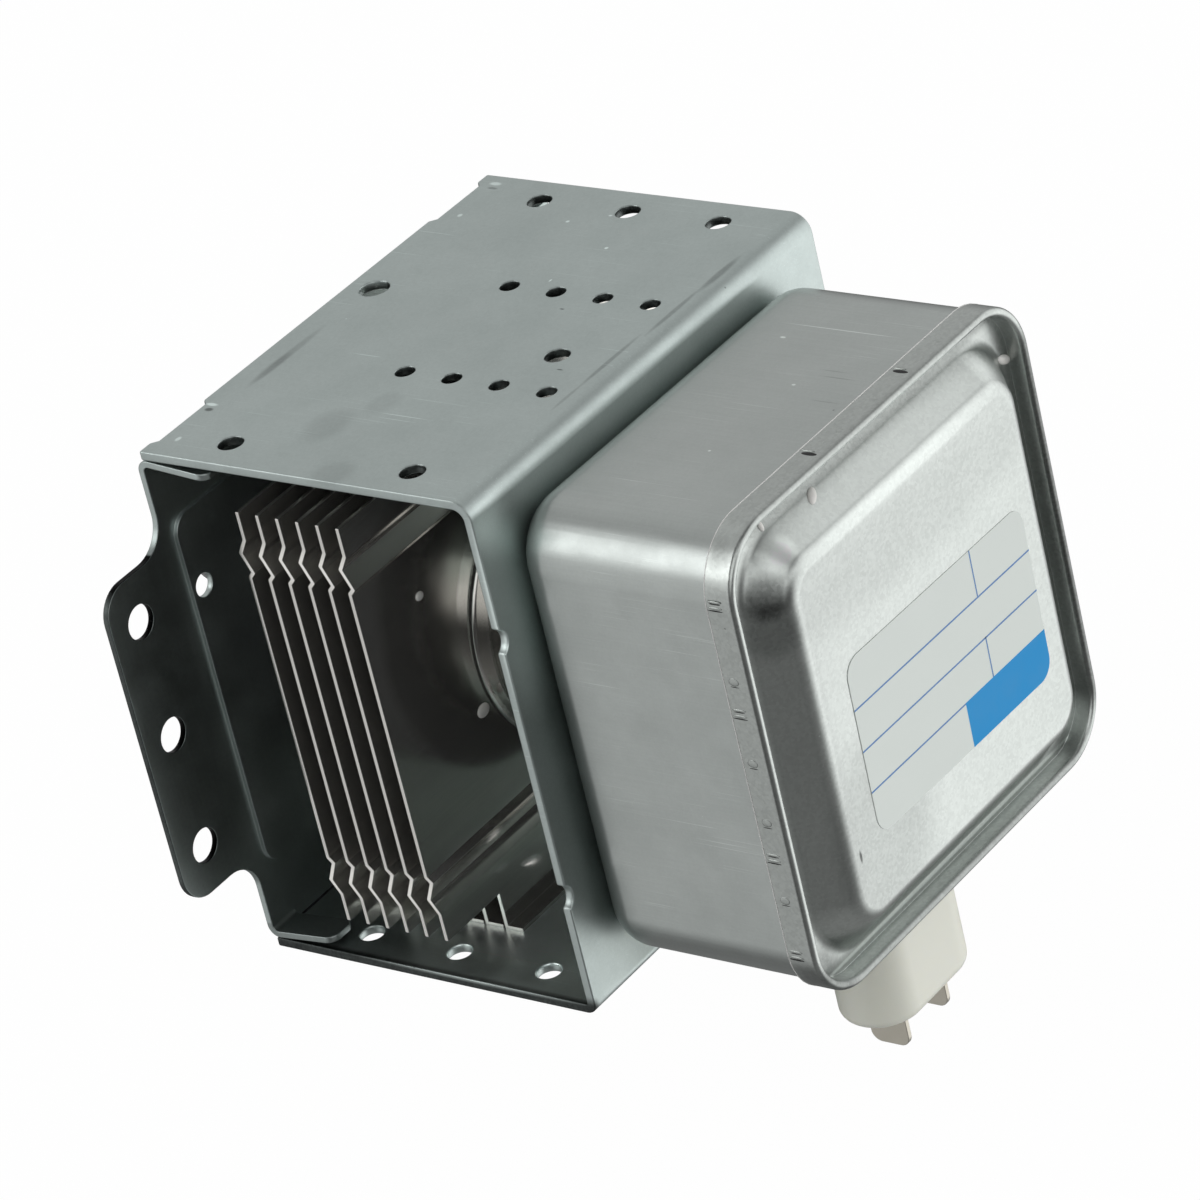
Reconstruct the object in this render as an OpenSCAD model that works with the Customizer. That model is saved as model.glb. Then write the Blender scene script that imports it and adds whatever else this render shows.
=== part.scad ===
// Microwave-oven magnetron: a folded steel yoke and its mounting plate clamp two ring magnets on a
// vacuum tube with cooling fins. The antenna leaves through the plate. Behind the yoke a filter box
// holds two chokes and a feed-through capacitor with blade terminals.
// X is the way the cooling air blows, +Y is the way the antenna points, Z runs from leg to leg.
// The origin is the centre of the mounting holes, on the outer face of the mounting plate.

/* [Yoke] */
// Width of the yoke along the air flow
yoke_w = 80.6; // [72:0.1:90]
// Height over both legs
yoke_h = 80; // [76:0.1:90]
// Depth from the plate's outer face to the outer face of the web
yoke_d = 57; // [55:0.1:66]
// Thickness of the yoke's sheet
yoke_t = 1.4; // [1:0.1:2]
// Inside radius of the upper bend
upper_bend_r = 1.6; // [0.8:0.1:5]
// Inside radius of the lower bend
lower_bend_r = 0.3; // [0.2:0.1:5]
// Width of the tongue on which a leg's edge meets the plate
leg_tongue_w = 52; // [40:0.1:60]
// Depth of the hollows beside that tongue, in the upper leg
leg_hollow = 0.9; // [0.4:0.1:1.5]
// Width of a leg's corners beyond the hollows
leg_corner_w = 2.4; // [1.5:0.1:5]
// Radius of the web's hole round the tube
web_hole_r = 11; // [10.4:0.1:14]
// Radius of the half-round notches in the web's edges
notch_r = 2; // [1:0.1:3]
// Depth of those notches
notch_depth = 1.2; // [0.5:0.1:1.8]
// Height of the upper notch
notch_upper_z = 19; // [10:0.1:28]
// Depth below the middle of the lower notch
notch_lower_z = 21; // [10:0.1:28]

/* [Holes in the legs] */
// Distance of the end holes from the middle
end_hole_x = 35; // [30:0.1:37]
// Diameter of the end holes
end_hole_d = 3.6; // [2.5:0.1:4.5]
// Pitch of the end holes
end_hole_pitch = 15.5; // [10:0.1:17]
// Depth of the first of three end holes below the plate's outer face
end_hole_first = 14.3; // [10:0.1:18]
// Depth of the first of two end holes at the other end
end_pair_first = 13; // [10:0.1:18]
// Distance of the rows of small holes from the middle
row_hole_x = 12.2; // [8:0.1:18]
// Diameter of the small holes
row_hole_d = 2.8; // [2:0.1:4]
// Pitch of the small holes
row_hole_pitch = 8; // [5:0.1:8.5]
// Depth of the first small hole below the plate's outer face
row_hole_first = 25.6; // [15:0.1:28]
// Diameter of the large locating hole
large_hole_d = 4.4; // [3:0.1:6]
// Place of the large locating hole along X
large_hole_x = 7; // [0:0.1:20]
// Depth of the large locating hole below the plate's outer face
large_hole_y = 5.7; // [5:0.1:9]
// Place of the single hole along X
single_hole_x = -3.2; // [-6:0.1:6]
// Depth of the single hole below the plate's outer face
single_hole_y = 44.9; // [40:0.1:48]

/* [Mounting plate] */
// Thickness of the plate
plate_t = 1; // [0.8:0.1:2]
// Length over both ears
ear_span = 108.4; // [104:0.1:116]
// Width of an ear
ear_w = 50; // [46:0.1:56]
// Radius of an ear's corners
ear_r = 4.5; // [2:0.1:6]
// Radius of the hollow where an ear leaves the plate
ear_fillet_r = 5; // [2:0.1:6]
// Distance of the mounting holes from an ear's end
ear_edge = 5.8; // [4.5:0.1:7]
// Pitch of the mounting holes
hole_pitch = 18; // [15:0.1:19]
// Diameter of the mounting holes
hole_d = 5; // [4:0.1:6]
// Width of the pressed panel
panel_w = 76.4; // [64:0.1:77]
// Height of the pressed panel
panel_h = 56; // [56:0.1:60]
// Radius of the pressed panel's corners
panel_r = 3; // [2:0.1:6]
// Depth of the press
panel_step = 0.6; // [0.3:0.1:0.9]
// Diameter of the two drain holes
drain_hole_d = 3.4; // [2:0.1:3.6]
// Place of a drain hole along X
drain_hole_x = 35.7; // [30:0.1:35.8]
// Place of a drain hole along Z
drain_hole_z = 16.5; // [8:0.1:20]
// Width of the folded corner tabs
tab_w = 5; // [3:0.1:7]
// Length of the folded corner tabs, from the plate's outer face
tab_len = 12; // [8:0.1:13]
// Inside radius of the tabs' fold
tab_fold_r = 0.8; // [0.4:0.1:1.5]
// Lean of the tabs away from the legs, in degrees
tab_lean = 5; // [0:0.5:8]
// Radius of the corners at a tab's end
tab_end_r = 1.8; // [0.5:0.1:2.4]

/* [Tube] */
// Outside diameter of the ring magnets
magnet_d = 54; // [48:0.1:55]
// Thickness of a ring magnet
magnet_t = 12.1; // [11:0.1:13.5]
// Width of the magnets' broken edges
magnet_edge = 0.8; // [0.3:0.1:1.5]
// Radius of the magnets' bores
magnet_bore_r = 10.5; // [10.3:0.1:13]
// Outside diameter of the anode
anode_d = 38.8; // [37:0.1:42]
// Wall of the anode
anode_wall = 2; // [1.5:0.1:3]
// Width of the ledge that seats a pole piece
pole_ledge = 1; // [0.5:0.1:1.2]
// Thickness of a pole piece
pole_t = 1.5; // [1:0.1:2]
// Gap between the vanes and a pole piece's tip
pole_gap = 1.8; // [1.2:0.1:3]
// Radius of a pole piece's hole
pole_hole_r = 4.7; // [4:0.1:5.5]
// Radius of a pole piece's flat tip
pole_tip_r = 7; // [6.2:0.1:8]
// Thickness of the flange of a shell
flange_t = 1; // [0.6:0.1:1.5]
// Wall of a shell
shell_wall = 0.6; // [0.4:0.1:1]
// Outside radius of the shells' necks
neck_r = 9.8; // [9:0.1:10]
// Length of each step where the output shell narrows to the ceramic
shell_step = 2.2; // [1.5:0.1:2.8]
// Number of vanes
vane_count = 10; // [8:2:12]
// Thickness of a vane
vane_t = 1.8; // [1.2:0.1:2]
// Height of a vane
vane_h = 8.6; // [7:0.1:9.5]
// Radius of the space between the vanes
vane_tip_r = 4.5; // [4:0.1:5]
// Width of a strap ring's section
strap_w = 0.6; // [0.4:0.1:0.7]
// Height of a strap ring
strap_h = 1.2; // [0.8:0.1:1.6]
// Inside radius of the inner strap rings
strap_r = 5.4; // [5.2:0.1:5.6]

/* [Cathode] */
// Middle radius of the filament
filament_r = 1.9; // [1.7:0.1:2.2]
// Radius of the filament's wire
filament_wire_r = 0.25; // [0.2:0.05:0.35]
// Turns of the filament
filament_turns = 8; // [5:1:10]
// Height of the filament
filament_h = 9.2; // [8:0.1:10]
// Radius of the end hats
hat_r = 3.4; // [3:0.1:3.8]
// Thickness of the end hats
hat_t = 1.2; // [0.8:0.1:1.5]
// Clearance between the lower end hat and the centre lead
hat_clear = 0.5; // [0.3:0.1:0.8]
// Radius of the cathode's leads
lead_r = 0.8; // [0.6:0.1:0.9]
// Distance of the side lead from the axis
side_lead_x = 2.4; // [2.3:0.1:2.5]
// Depth of the stem's rim behind the web
stem_rim = 3; // [2:0.1:6]
// Length of the stem's ceramic
stem_len = 9; // [6:0.1:11]
// Width of the step on the stem's ceramic
stem_step = 2; // [1:0.1:4]
// Length of the leads past the stem
lead_tail = 4; // [3:0.1:5]

/* [Antenna] */
// Height of the tube's rim above the plate
output_rim = 7; // [6:0.1:9]
// Radius of the antenna's ceramic
ceramic_r = 8.2; // [7.8:0.1:8.6]
// Wall of the antenna's ceramic
ceramic_wall = 2; // [1.2:0.1:2.4]
// Length of the antenna's ceramic
ceramic_len = 8; // [6:0.1:12]
// Radius of the antenna cap
cap_r = 7.6; // [6.5:0.1:7.8]
// Length of the antenna cap
cap_len = 14; // [13:0.1:18]
// Wall of the antenna cap
cap_wall = 0.5; // [0.4:0.1:0.8]
// Radius of the antenna cap's edge
cap_edge_r = 1.5; // [1:0.1:3]
// Radius of the exhaust tube
exhaust_r = 3.2; // [2.6:0.1:4]
// Wall of the exhaust tube
exhaust_wall = 0.7; // [0.4:0.1:1]
// Half thickness of the exhaust tube's pinched end
exhaust_pinch = 0.6; // [0.4:0.1:1]
// Thickness of the copper disc that closes the ceramic
seal_t = 0.6; // [0.4:0.1:1]
// Width of the copper strip that feeds the antenna
antenna_lead_w = 2; // [1.5:0.1:2.4]
// Thickness of that strip
antenna_lead_t = 0.9; // [0.6:0.1:1.2]
// Distance of the strip from the axis at its vane
antenna_lead_x = 9; // [8.6:0.1:9.2]
// Radius of the pole piece's hole round that strip
antenna_hole_r = 2.4; // [1.8:0.1:2.6]
// Outside radius of the mesh gasket
gasket_r = 16.5; // [14:0.1:18]
// Height of the mesh gasket
gasket_h = 4.6; // [3:0.1:5]
// Width of the retainer's lip over the gasket
retainer_lip = 1.2; // [0.8:0.1:2]

/* [Fins] */
// Thickness of the fins' sheet
fin_t = 0.6; // [0.4:0.1:0.8]
// Pitch of the fins
fin_pitch = 3.44; // [3.2:0.02:3.6]
// Depth of the first fin below the anode's end
fin_lead = 0.5; // [0.5:0.1:1.2]
// Length of a fin along the air flow
fin_w = 80.6; // [70:0.1:90]
// Width of the middle part that reaches the legs
fin_mid_w = 56.4; // [46:0.1:62]
// Half height of the flat middle of a fin
fin_flat = 22.5; // [21.5:0.1:24]
// Half height of a fin's free ends
fin_half_h = 32.7; // [30:0.1:35]
// Length of the crimp's first step
crimp_step = 0.8; // [0.5:0.1:1.2]
// Length of the crimp's ramp
crimp_ramp = 2.9; // [2:0.1:3.2]
// Length of the crimp's last step
crimp_tail = 2.2; // [1.5:0.1:2.5]
// Depth of the crimp
crimp_dip = 0.75; // [0.4:0.05:0.9]
// Rise of the crimp
crimp_crest = 0.55; // [0.3:0.05:0.6]
// Radius at the root of a fin's collar
collar_root_r = 0.9; // [0.4:0.1:1.2]

/* [Filter box] */
// Width and height of the box over its walls
box_w = 70.2; // [66:0.1:72]
// Sheet of the box
box_t = 0.8; // [0.5:0.1:1.2]
// Depth of the box from the web to its open edge
box_d = 32.5; // [31:0.1:38]
// Radius of the box's corners
box_corner_r = 8.6; // [7:0.1:10]
// Radius of the drawn edge at the box's floor
box_edge_r = 5; // [3:0.1:6]
// Distance of the floor's rivets from the middle
box_rivet_x = 24; // [23:0.1:26]

/* [Lid] */
// Sheet of the lid
lid_t = 0.6; // [0.4:0.1:0.8]
// Length of the skirt over the box's edge
skirt_len = 1; // [0.6:0.1:4]
// Width of the rolled rim
rim_w = 1.4; // [1.2:0.1:2.4]
// Depth of the groove inside the rim
groove_depth = 2.8; // [2:0.1:4]
// Width of the groove's floor
groove_w = 1.2; // [0.8:0.1:2]
// Height of the raised panel above the groove's floor
raise_h = 5.4; // [4:0.1:7]
// Width of the raised panel's slope
raise_slope = 7.6; // [6.6:0.1:8.6]
// Radius of the raised panel's corners at its foot
raise_corner_r = 11; // [10:0.1:13]
// Radius of the raised panel's shoulder
raise_shoulder_r = 3; // [2:0.1:3.4]
// Radius of the hollow at the raised panel's foot
raise_foot_r = 2.4; // [1:0.1:2.6]

/* [Capacitor] */
// Length of the capacitor's case
case_w = 22.6; // [22:0.1:25]
// Width of the capacitor's case
case_h = 12.6; // [11:0.1:13.5]
// Length of the case below the box
case_len = 21.8; // [18:0.1:28]
// Radius of the case's lower edge
case_edge_r = 1.8; // [1:0.1:2.5]
// Distance of the inner case's sides from those of the case
inner_case_inset = 2; // [1.5:0.1:2.8]
// Length of the inner case above the box's wall
inner_case_len = 11; // [8:0.1:13]
// Depth of the capacitor behind the web
case_y = 20; // [18:0.1:21]
// Spacing of the two blades
blade_pitch = 10; // [9.6:0.1:10.4]
// Width of a blade
blade_w = 6.3; // [4.8:0.1:6.3]
// Thickness of a blade
blade_t = 0.8; // [0.5:0.1:1]
// Length of a blade below the case
blade_len = 5.9; // [5:0.1:9]
// Radius of a blade's corners
blade_r = 1.6; // [0.8:0.1:2]
// Length of a blade inside the case
blade_root = 6; // [4:0.1:10]
// Radius of the terminal rods inside the capacitor
rod_r = 1.2; // [0.9:0.1:1.5]
// Length of the terminal rods past the inner case
rod_tail = 4.5; // [3:0.1:6]
// Thickness of the capacitor's flange
case_flange_t = 1; // [0.8:0.1:1.5]
// Length of the capacitor's flange
case_flange_w = 37; // [36:0.1:39]
// Width of the capacitor's flange
case_flange_h = 17; // [15:0.1:18]
// Radius of the flange's corners
case_flange_r = 3; // [1:0.1:6]
// Spacing of the flange's rivets
flange_rivet_pitch = 30; // [28:0.1:31]

/* [Chokes] */
// Distance of a choke from the middle
choke_x = 15; // [14:0.1:20]
// Depth of the chokes behind the web
choke_y = 17; // [16:0.1:18]
// Middle radius of a choke's turns
choke_r = 3.6; // [3.2:0.1:4]
// Radius of a choke's wire
choke_wire_r = 0.7; // [0.5:0.1:0.8]
// Pitch of a choke's turns
choke_pitch = 1.9; // [1.8:0.1:2.2]
// Turns of a choke
choke_turns = 9; // [6:1:10]
// Height of a choke's first turn
choke_top_z = 10; // [8:0.1:12]
// Gap between a choke's turns and its ferrite core
choke_core_gap = 0.25; // [0.1:0.05:0.4]
// Length of the core past the turns at each end
choke_core_past = 2; // [1:0.1:4]

/* [Clearances and rivets] */
// Clearance between nested sheets
sheet_fit = 0.1; // [0.05:0.05:0.3]
// Radius of a rivet's shank
rivet_r = 1.6; // [1.2:0.1:2]
// Radius of a rivet's head
rivet_head_r = 2.8; // [2.4:0.1:3.2]
// Height of a rivet's head
rivet_head_h = 0.9; // [0.6:0.1:1.2]

/* [Hidden] */
$fn = 64;
fin_count = 6;
fin_names = [for (i = [1 : fin_count]) str("cooling_fin_", i)];

// A length that lets a cut run clear of a face
clear = 1;

// Colours as the photograph shows them
zinc = [0.58, 0.62, 0.62];
zinc_light = [0.68, 0.71, 0.71];
aluminium = [0.75, 0.76, 0.77];
ferrite = [0.20, 0.20, 0.21];
copper = [0.72, 0.45, 0.32];
iron = [0.45, 0.46, 0.48];
steel = [0.66, 0.67, 0.69];
alumina = [0.88, 0.80, 0.84];
molybdenum = [0.50, 0.50, 0.52];
off_white = [0.90, 0.89, 0.85];
tinned = [0.62, 0.60, 0.55];

// Levels along the antenna's axis
web_out_y = -yoke_d;
web_in_y = web_out_y + yoke_t;
panel_in_y = -plate_t - panel_step;
out_magnet_y = panel_in_y - magnet_t;
in_magnet_y = web_in_y + magnet_t;
anode_top_y = out_magnet_y - flange_t;
anode_low_y = in_magnet_y + flange_t;
anode_mid_y = (anode_top_y + anode_low_y) / 2;
stem_rim_y = web_out_y - stem_rim;
stem_end_y = stem_rim_y - stem_len;
lead_end_y = stem_end_y - lead_tail;
ceramic_top_y = output_rim + ceramic_len;
box_floor_y = web_out_y - box_t;
box_open_y = web_out_y - box_d;
groove_y = box_open_y - lid_t;
crest_y = groove_y - groove_depth;
case_axis_y = web_out_y - case_y;
choke_axis_y = web_out_y - choke_y;

// Other derived places
leg_in_z = yoke_h / 2 - yoke_t;
leg_edge_y = -plate_t - sheet_fit;
hole_span = ear_span - 2 * ear_edge;
plate_edge_z = leg_in_z - sheet_fit;
anode_r = anode_d / 2;
bore_r = anode_r - anode_wall;
pole_r = bore_r + pole_ledge;
strap_gap = strap_w;
outer_strap_r = strap_r + strap_w + strap_gap;
hat_y = filament_h / 2;
lid_w = box_w + 2 * sheet_fit + 2 * lid_t;
lid_corner_r = box_corner_r + sheet_fit + lid_t;
raise_w = lid_w - 2 * rim_w - 2 * groove_w;
box_wall_z = -box_w / 2;
flange_z = box_wall_z - case_flange_t;
case_low_z = flange_z - case_len;
blade_tip_z = case_low_z - blade_len;

// Small helpers for directions in a plane
function unit(v) = v / norm(v);
function left_of(v) = [-v[1], v[0]];

// Mitred offset direction at point i of an open path
function mitre(path, i) =
    let (last = len(path) - 1,
         a = max(i, 1),
         b = min(i, last - 1),
         before = left_of(unit(path[a] - path[a - 1])),
         after = left_of(unit(path[b + 1] - path[b])))
    (before + after) / (1 + before * after);

// Outline of a strip of thickness t along an open path
function strip(path, t) = concat(
    [for (i = [0 : len(path) - 1]) path[i] + mitre(path, i) * t / 2],
    [for (i = [len(path) - 1 : -1 : 0]) path[i] - mitre(path, i) * t / 2]);

// Points of an arc
function arc(centre, r, from, to, steps = 8) =
    [for (i = [0 : steps]) centre + r * [cos(from + (to - from) * i / steps), sin(from + (to - from) * i / steps)]];

// Extrudes a profile drawn as (Y, Z) along X, centred
module along_x(length) {
    rotate([90, 0, 90]) translate([0, 0, -length / 2]) linear_extrude(length) children();
}

// Extrudes a profile drawn as (X, Z) along Y, between two levels
module along_y(low, high) {
    translate([0, high, 0]) rotate([90, 0, 0]) linear_extrude(high - low) children();
}

// Extrudes a profile drawn as (X, Y) along Z, between two levels
module along_z(low, high) {
    translate([0, 0, low]) linear_extrude(high - low) children();
}

// Turns a profile drawn as (radius, Y) about the antenna's axis
module about_y(angle = 360) {
    rotate([-90, 0, 0]) rotate_extrude(angle = angle) children();
}

// Round bar along Y between two levels
module rod_y(r, low, high) {
    along_y(low, high) circle(r);
}

// Rectangle with round corners
module round_rect(w, h, r) {
    square([w - 2 * r, h], center = true);
    square([w, h - 2 * r], center = true);
    for (sx = [-1, 1], sy = [-1, 1])
        translate([sx * (w / 2 - r), sy * (h / 2 - r)]) circle(r);
}

// Half section of a drawn form, from its axis to r and from -depth to 0, with its top edge rounded
module edge_section(r, edge, depth) {
    translate([0, -depth]) square([r, depth - edge]);
    translate([0, -edge]) square([r - edge, edge]);
    intersection() {
        translate([r - edge, -edge]) circle(edge);
        translate([r - edge, -edge]) square(edge);
    }
}

// Block with a rounded-rectangle plan: the child is its half section as (distance, Y) from a corner's
// centre, turned at the corners and drawn along the sides
module swept_block(w, h, corner_r, low, high) {
    run_x = w - 2 * corner_r;
    run_z = h - 2 * corner_r;
    translate([-run_x / 2, low, -run_z / 2]) cube([run_x, high - low, run_z]);
    for (turn = [0 : 3])
        translate([(turn == 0 || turn == 3 ? 1 : -1) * run_x / 2, 0, (turn < 2 ? -1 : 1) * run_z / 2])
            rotate([0, 90 * turn, 0]) about_y(90) children();
    for (turn = [0, 180])
        rotate([0, turn, 0]) translate([run_x / 2, 0, 0]) linear_extrude(run_z, center = true) children();
    for (turn = [90, 270])
        rotate([0, turn, 0]) translate([run_z / 2, 0, 0]) linear_extrude(run_x, center = true) children();
}

// Tube of radius a swept along a path; up is a direction that the path never follows
module swept_wire(path, a, sides, up) {
    n = len(path);
    rings = [for (i = [0 : n - 1])
        let (t = unit(path[min(i + 1, n - 1)] - path[max(i - 1, 0)]),
             side = unit(cross(t, up)),
             top = cross(side, t))
        for (k = [0 : sides - 1])
            path[i] + a * (cos(360 * k / sides) * side + sin(360 * k / sides) * top)];
    walls = [for (i = [0 : n - 2], k = [0 : sides - 1])
        let (j = (k + 1) % sides)
        [i * sides + k, i * sides + j, (i + 1) * sides + j, (i + 1) * sides + k]];
    start_cap = [for (k = [sides - 1 : -1 : 0]) k];
    end_cap = [for (k = [0 : sides - 1]) (n - 1) * sides + k];
    polyhedron(rings, concat([start_cap, end_cap], walls));
}

// Rivet along +Y from its first head's seat: a shank through a stack and a head at each end
module rivet(stack) {
    head_edge = rivet_head_h / 2;
    about_y() polygon([
        [0, -rivet_head_h], [rivet_head_r - head_edge, -rivet_head_h], [rivet_head_r, -head_edge],
        [rivet_head_r, 0], [rivet_r, 0], [rivet_r, stack], [rivet_head_r, stack],
        [rivet_head_r, stack + head_edge], [rivet_head_r - head_edge, stack + rivet_head_h],
        [0, stack + rivet_head_h]]);
}

// Section of the U-shaped yoke as (Y, Z), outside when inset is 0
module yoke_section(inset, mouth_y) {
    half = yoke_h / 2 - inset;
    floor_y = web_out_y + inset;
    upper_r = upper_bend_r + yoke_t - inset;
    lower_r = lower_bend_r + yoke_t - inset;
    translate([floor_y + upper_r, 0]) square([mouth_y - floor_y - upper_r, half]);
    translate([floor_y + lower_r, -half]) square([mouth_y - floor_y - lower_r, half]);
    translate([floor_y, lower_r - half]) square([max(upper_r, lower_r), 2 * half - upper_r - lower_r]);
    translate([floor_y + upper_r, half - upper_r]) circle(upper_r);
    translate([floor_y + lower_r, lower_r - half]) circle(lower_r);
}

// Holes of the upper leg as (X, Y) circles
module leg_holes() {
    for (i = [0 : 2])
        translate([end_hole_x, -end_hole_first - i * end_hole_pitch]) circle(d = end_hole_d);
    for (i = [0, 2])
        translate([-end_hole_x, -end_pair_first - i * end_hole_pitch]) circle(d = end_hole_d);
    for (s = [-1, 1], i = [0 : 3])
        translate([s * row_hole_x, -row_hole_first - i * row_hole_pitch]) circle(d = row_hole_d);
    translate([large_hole_x, -large_hole_y]) circle(d = large_hole_d);
    translate([single_hole_x, -single_hole_y]) circle(d = end_hole_d);
}

module yoke() {
    color(zinc) difference() {
        along_x(yoke_w) difference() {
            yoke_section(0, leg_edge_y);
            yoke_section(yoke_t, leg_edge_y + clear);
        }
        for (side = [0, 1])
            mirror([side, 0, 0]) along_z(0, yoke_h) polygon([
                [leg_tongue_w / 2, leg_edge_y + clear], [leg_tongue_w / 2, leg_edge_y],
                [leg_tongue_w / 2 + leg_hollow, leg_edge_y - leg_hollow],
                [yoke_w / 2 - leg_corner_w - leg_hollow, leg_edge_y - leg_hollow],
                [yoke_w / 2 - leg_corner_w, leg_edge_y], [yoke_w / 2 - leg_corner_w, leg_edge_y + clear]]);
        along_z(0, yoke_h) leg_holes();
        rotate([0, 180, 0]) along_z(0, yoke_h) leg_holes();
        rod_y(web_hole_r, web_out_y - clear, web_in_y + clear);
        for (s = [-1, 1]) {
            translate([s * (yoke_w / 2 + notch_r - notch_depth), 0, -s * notch_upper_z])
                rod_y(notch_r, web_out_y - clear, web_in_y + clear);
            translate([s * (yoke_w / 2 + notch_r - notch_depth), 0, s * notch_lower_z])
                rod_y(notch_r, web_out_y - clear, web_in_y + clear);
        }
        box_rivet_places() rod_y(rivet_r, web_out_y - clear, web_in_y + clear);
    }
}

// Outline of the mounting plate with its ears, as (X, Z)
module plate_outline() {
    square([yoke_w, 2 * plate_edge_z], center = true);
    round_rect(ear_span, ear_w, ear_r);
    for (sx = [-1, 1], sz = [-1, 1])
        translate([sx * yoke_w / 2, sz * ear_w / 2]) difference() {
            translate([sx > 0 ? 0 : -ear_fillet_r, sz > 0 ? 0 : -ear_fillet_r]) square(ear_fillet_r);
            translate([sx * ear_fillet_r, sz * ear_fillet_r]) circle(ear_fillet_r);
        }
}

// One folded tab at the plate's upper edge, as a section in (Y, Z)
module tab_section() {
    outer_r = tab_fold_r + plate_t;
    translate([-outer_r, plate_edge_z - outer_r]) difference() {
        intersection() {
            circle(outer_r);
            square(outer_r);
        }
        circle(tab_fold_r);
    }
    run = tab_len - outer_r;
    translate([-outer_r, plate_edge_z]) rotate(tab_lean) translate([-run, -plate_t]) square([run, plate_t]);
}

// Outline of a tab as (X, Y), with its end's round corners
module tab_outline() {
    side = tab_w / 2 - tab_end_r;
    translate([-tab_w / 2, tab_end_r - tab_len]) square([tab_w, tab_len]);
    translate([-side, -tab_len]) square([2 * side, 2 * tab_end_r]);
    for (s = [-1, 1])
        translate([s * side, tab_end_r - tab_len]) circle(tab_end_r);
}

module mounting_plate() {
    tab_x = yoke_w / 2 - tab_w / 2;
    fold_r = tab_fold_r + plate_t;
    color(zinc) {
        difference() {
            union() {
                along_y(-plate_t, 0) plate_outline();
                along_y(panel_in_y, -plate_t) round_rect(panel_w, panel_h, panel_r);
            }
            along_y(-panel_step, clear)
                round_rect(panel_w - 2 * panel_step, panel_h - 2 * panel_step, panel_r - panel_step);
            for (s = [-1, 1], i = [-1 : 1])
                translate([s * hole_span / 2, 0, i * hole_pitch]) rod_y(hole_d / 2, -plate_t - clear, clear);
            for (s = [-1, 1])
                translate([s * drain_hole_x, 0, -s * drain_hole_z])
                    rod_y(drain_hole_d / 2, panel_in_y - clear, clear);
            rod_y(magnet_bore_r, panel_in_y - clear, clear);
            // Room for the folds of the four corner tabs
            for (sx = [-1, 1], sz = [-1, 1])
                translate([sx * tab_x, 0, sz * plate_edge_z])
                    cube([tab_w, 4 * plate_t, 2 * fold_r], center = true);
        }
        for (sx = [-1, 1], turn = [0, 180])
            rotate([0, turn, 0]) translate([sx * tab_x, 0, 0]) intersection() {
                along_x(tab_w) tab_section();
                along_z(0, yoke_h) tab_outline();
            }
    }
}

// Middle plane of fin i, counted from 0
function fin_y(i) = anode_top_y - fin_lead - i * fin_pitch;

// Upper half of a fin's section, as (Y, Z)
crimp_z = fin_flat + crimp_step + crimp_ramp + crimp_tail;
fin_half = [
    [0, fin_flat],
    [-crimp_dip, fin_flat + crimp_step],
    [crimp_crest, fin_flat + crimp_step + crimp_ramp],
    [-crimp_dip, crimp_z]];
foot_len = fin_pitch - fin_t;
foot_z = leg_in_z - fin_t / 2;
free_half = concat(fin_half, [[-crimp_dip, fin_half_h]]);
leg_half = concat(fin_half, [[-crimp_dip, foot_z], [-crimp_dip - foot_len, foot_z]]);

// Whole section from its upper half
function both_halves(half) = concat(
    [for (i = [len(half) - 1 : -1 : 0]) [half[i][0], -half[i][1]]],
    half);

// Section of a fin's collar as (radius, Y), with its rounded root
module collar_section() {
    outer = anode_r + fin_t;
    root_y = -fin_t / 2;
    translate([anode_r, -fin_pitch + fin_t / 2 + sheet_fit])
        square([fin_t, fin_pitch - sheet_fit]);
    difference() {
        translate([outer, root_y - collar_root_r]) square(collar_root_r);
        translate([outer + collar_root_r, root_y - collar_root_r]) circle(collar_root_r);
    }
}

module cooling_fin(i) {
    color(aluminium) translate([0, fin_y(i), 0]) {
        difference() {
            union() {
                along_x(fin_w) polygon(strip(both_halves(free_half), fin_t));
                along_x(fin_mid_w) polygon(strip(both_halves(leg_half), fin_t));
            }
            rod_y(anode_r, -fin_t, fin_t);
        }
        about_y() collar_section();
    }
}

// Ring magnet between two levels, with broken edges
module ring_magnet(low) {
    r = magnet_d / 2;
    high = low + magnet_t;
    color(ferrite) about_y() polygon([
        [magnet_bore_r, low], [r - magnet_edge, low], [r, low + magnet_edge], [r, high - magnet_edge],
        [r - magnet_edge, high], [magnet_bore_r, high]]);
}

module output_magnet() {
    ring_magnet(out_magnet_y);
}

module input_magnet() {
    ring_magnet(web_in_y);
}

module anode_cylinder() {
    color(copper) about_y() difference() {
        translate([bore_r, anode_low_y]) square([anode_wall, anode_top_y - anode_low_y]);
        translate([bore_r, anode_top_y - pole_t]) square([pole_ledge, pole_t + clear]);
        translate([bore_r, anode_low_y - clear]) square([pole_ledge, pole_t + clear]);
    }
}

// Sections of the two straps at the vanes' upper edge, as (radius, Y); grow widens and deepens one
module strap_section(r, grow) {
    translate([r - grow, vane_h / 2 - strap_h - grow]) square([strap_w + 2 * grow, strap_h + 2 * grow]);
}

// Straps on one vane: the inner pair meets the even vanes and passes the odd ones clear
module strap_cuts(even) {
    strap_clear = strap_gap / 2;
    for (turn = [0, 180])
        rotate([turn, 0, 0]) about_y() {
            strap_section(strap_r, even ? 0 : strap_clear);
            strap_section(outer_strap_r, even ? strap_clear : 0);
        }
}

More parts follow.
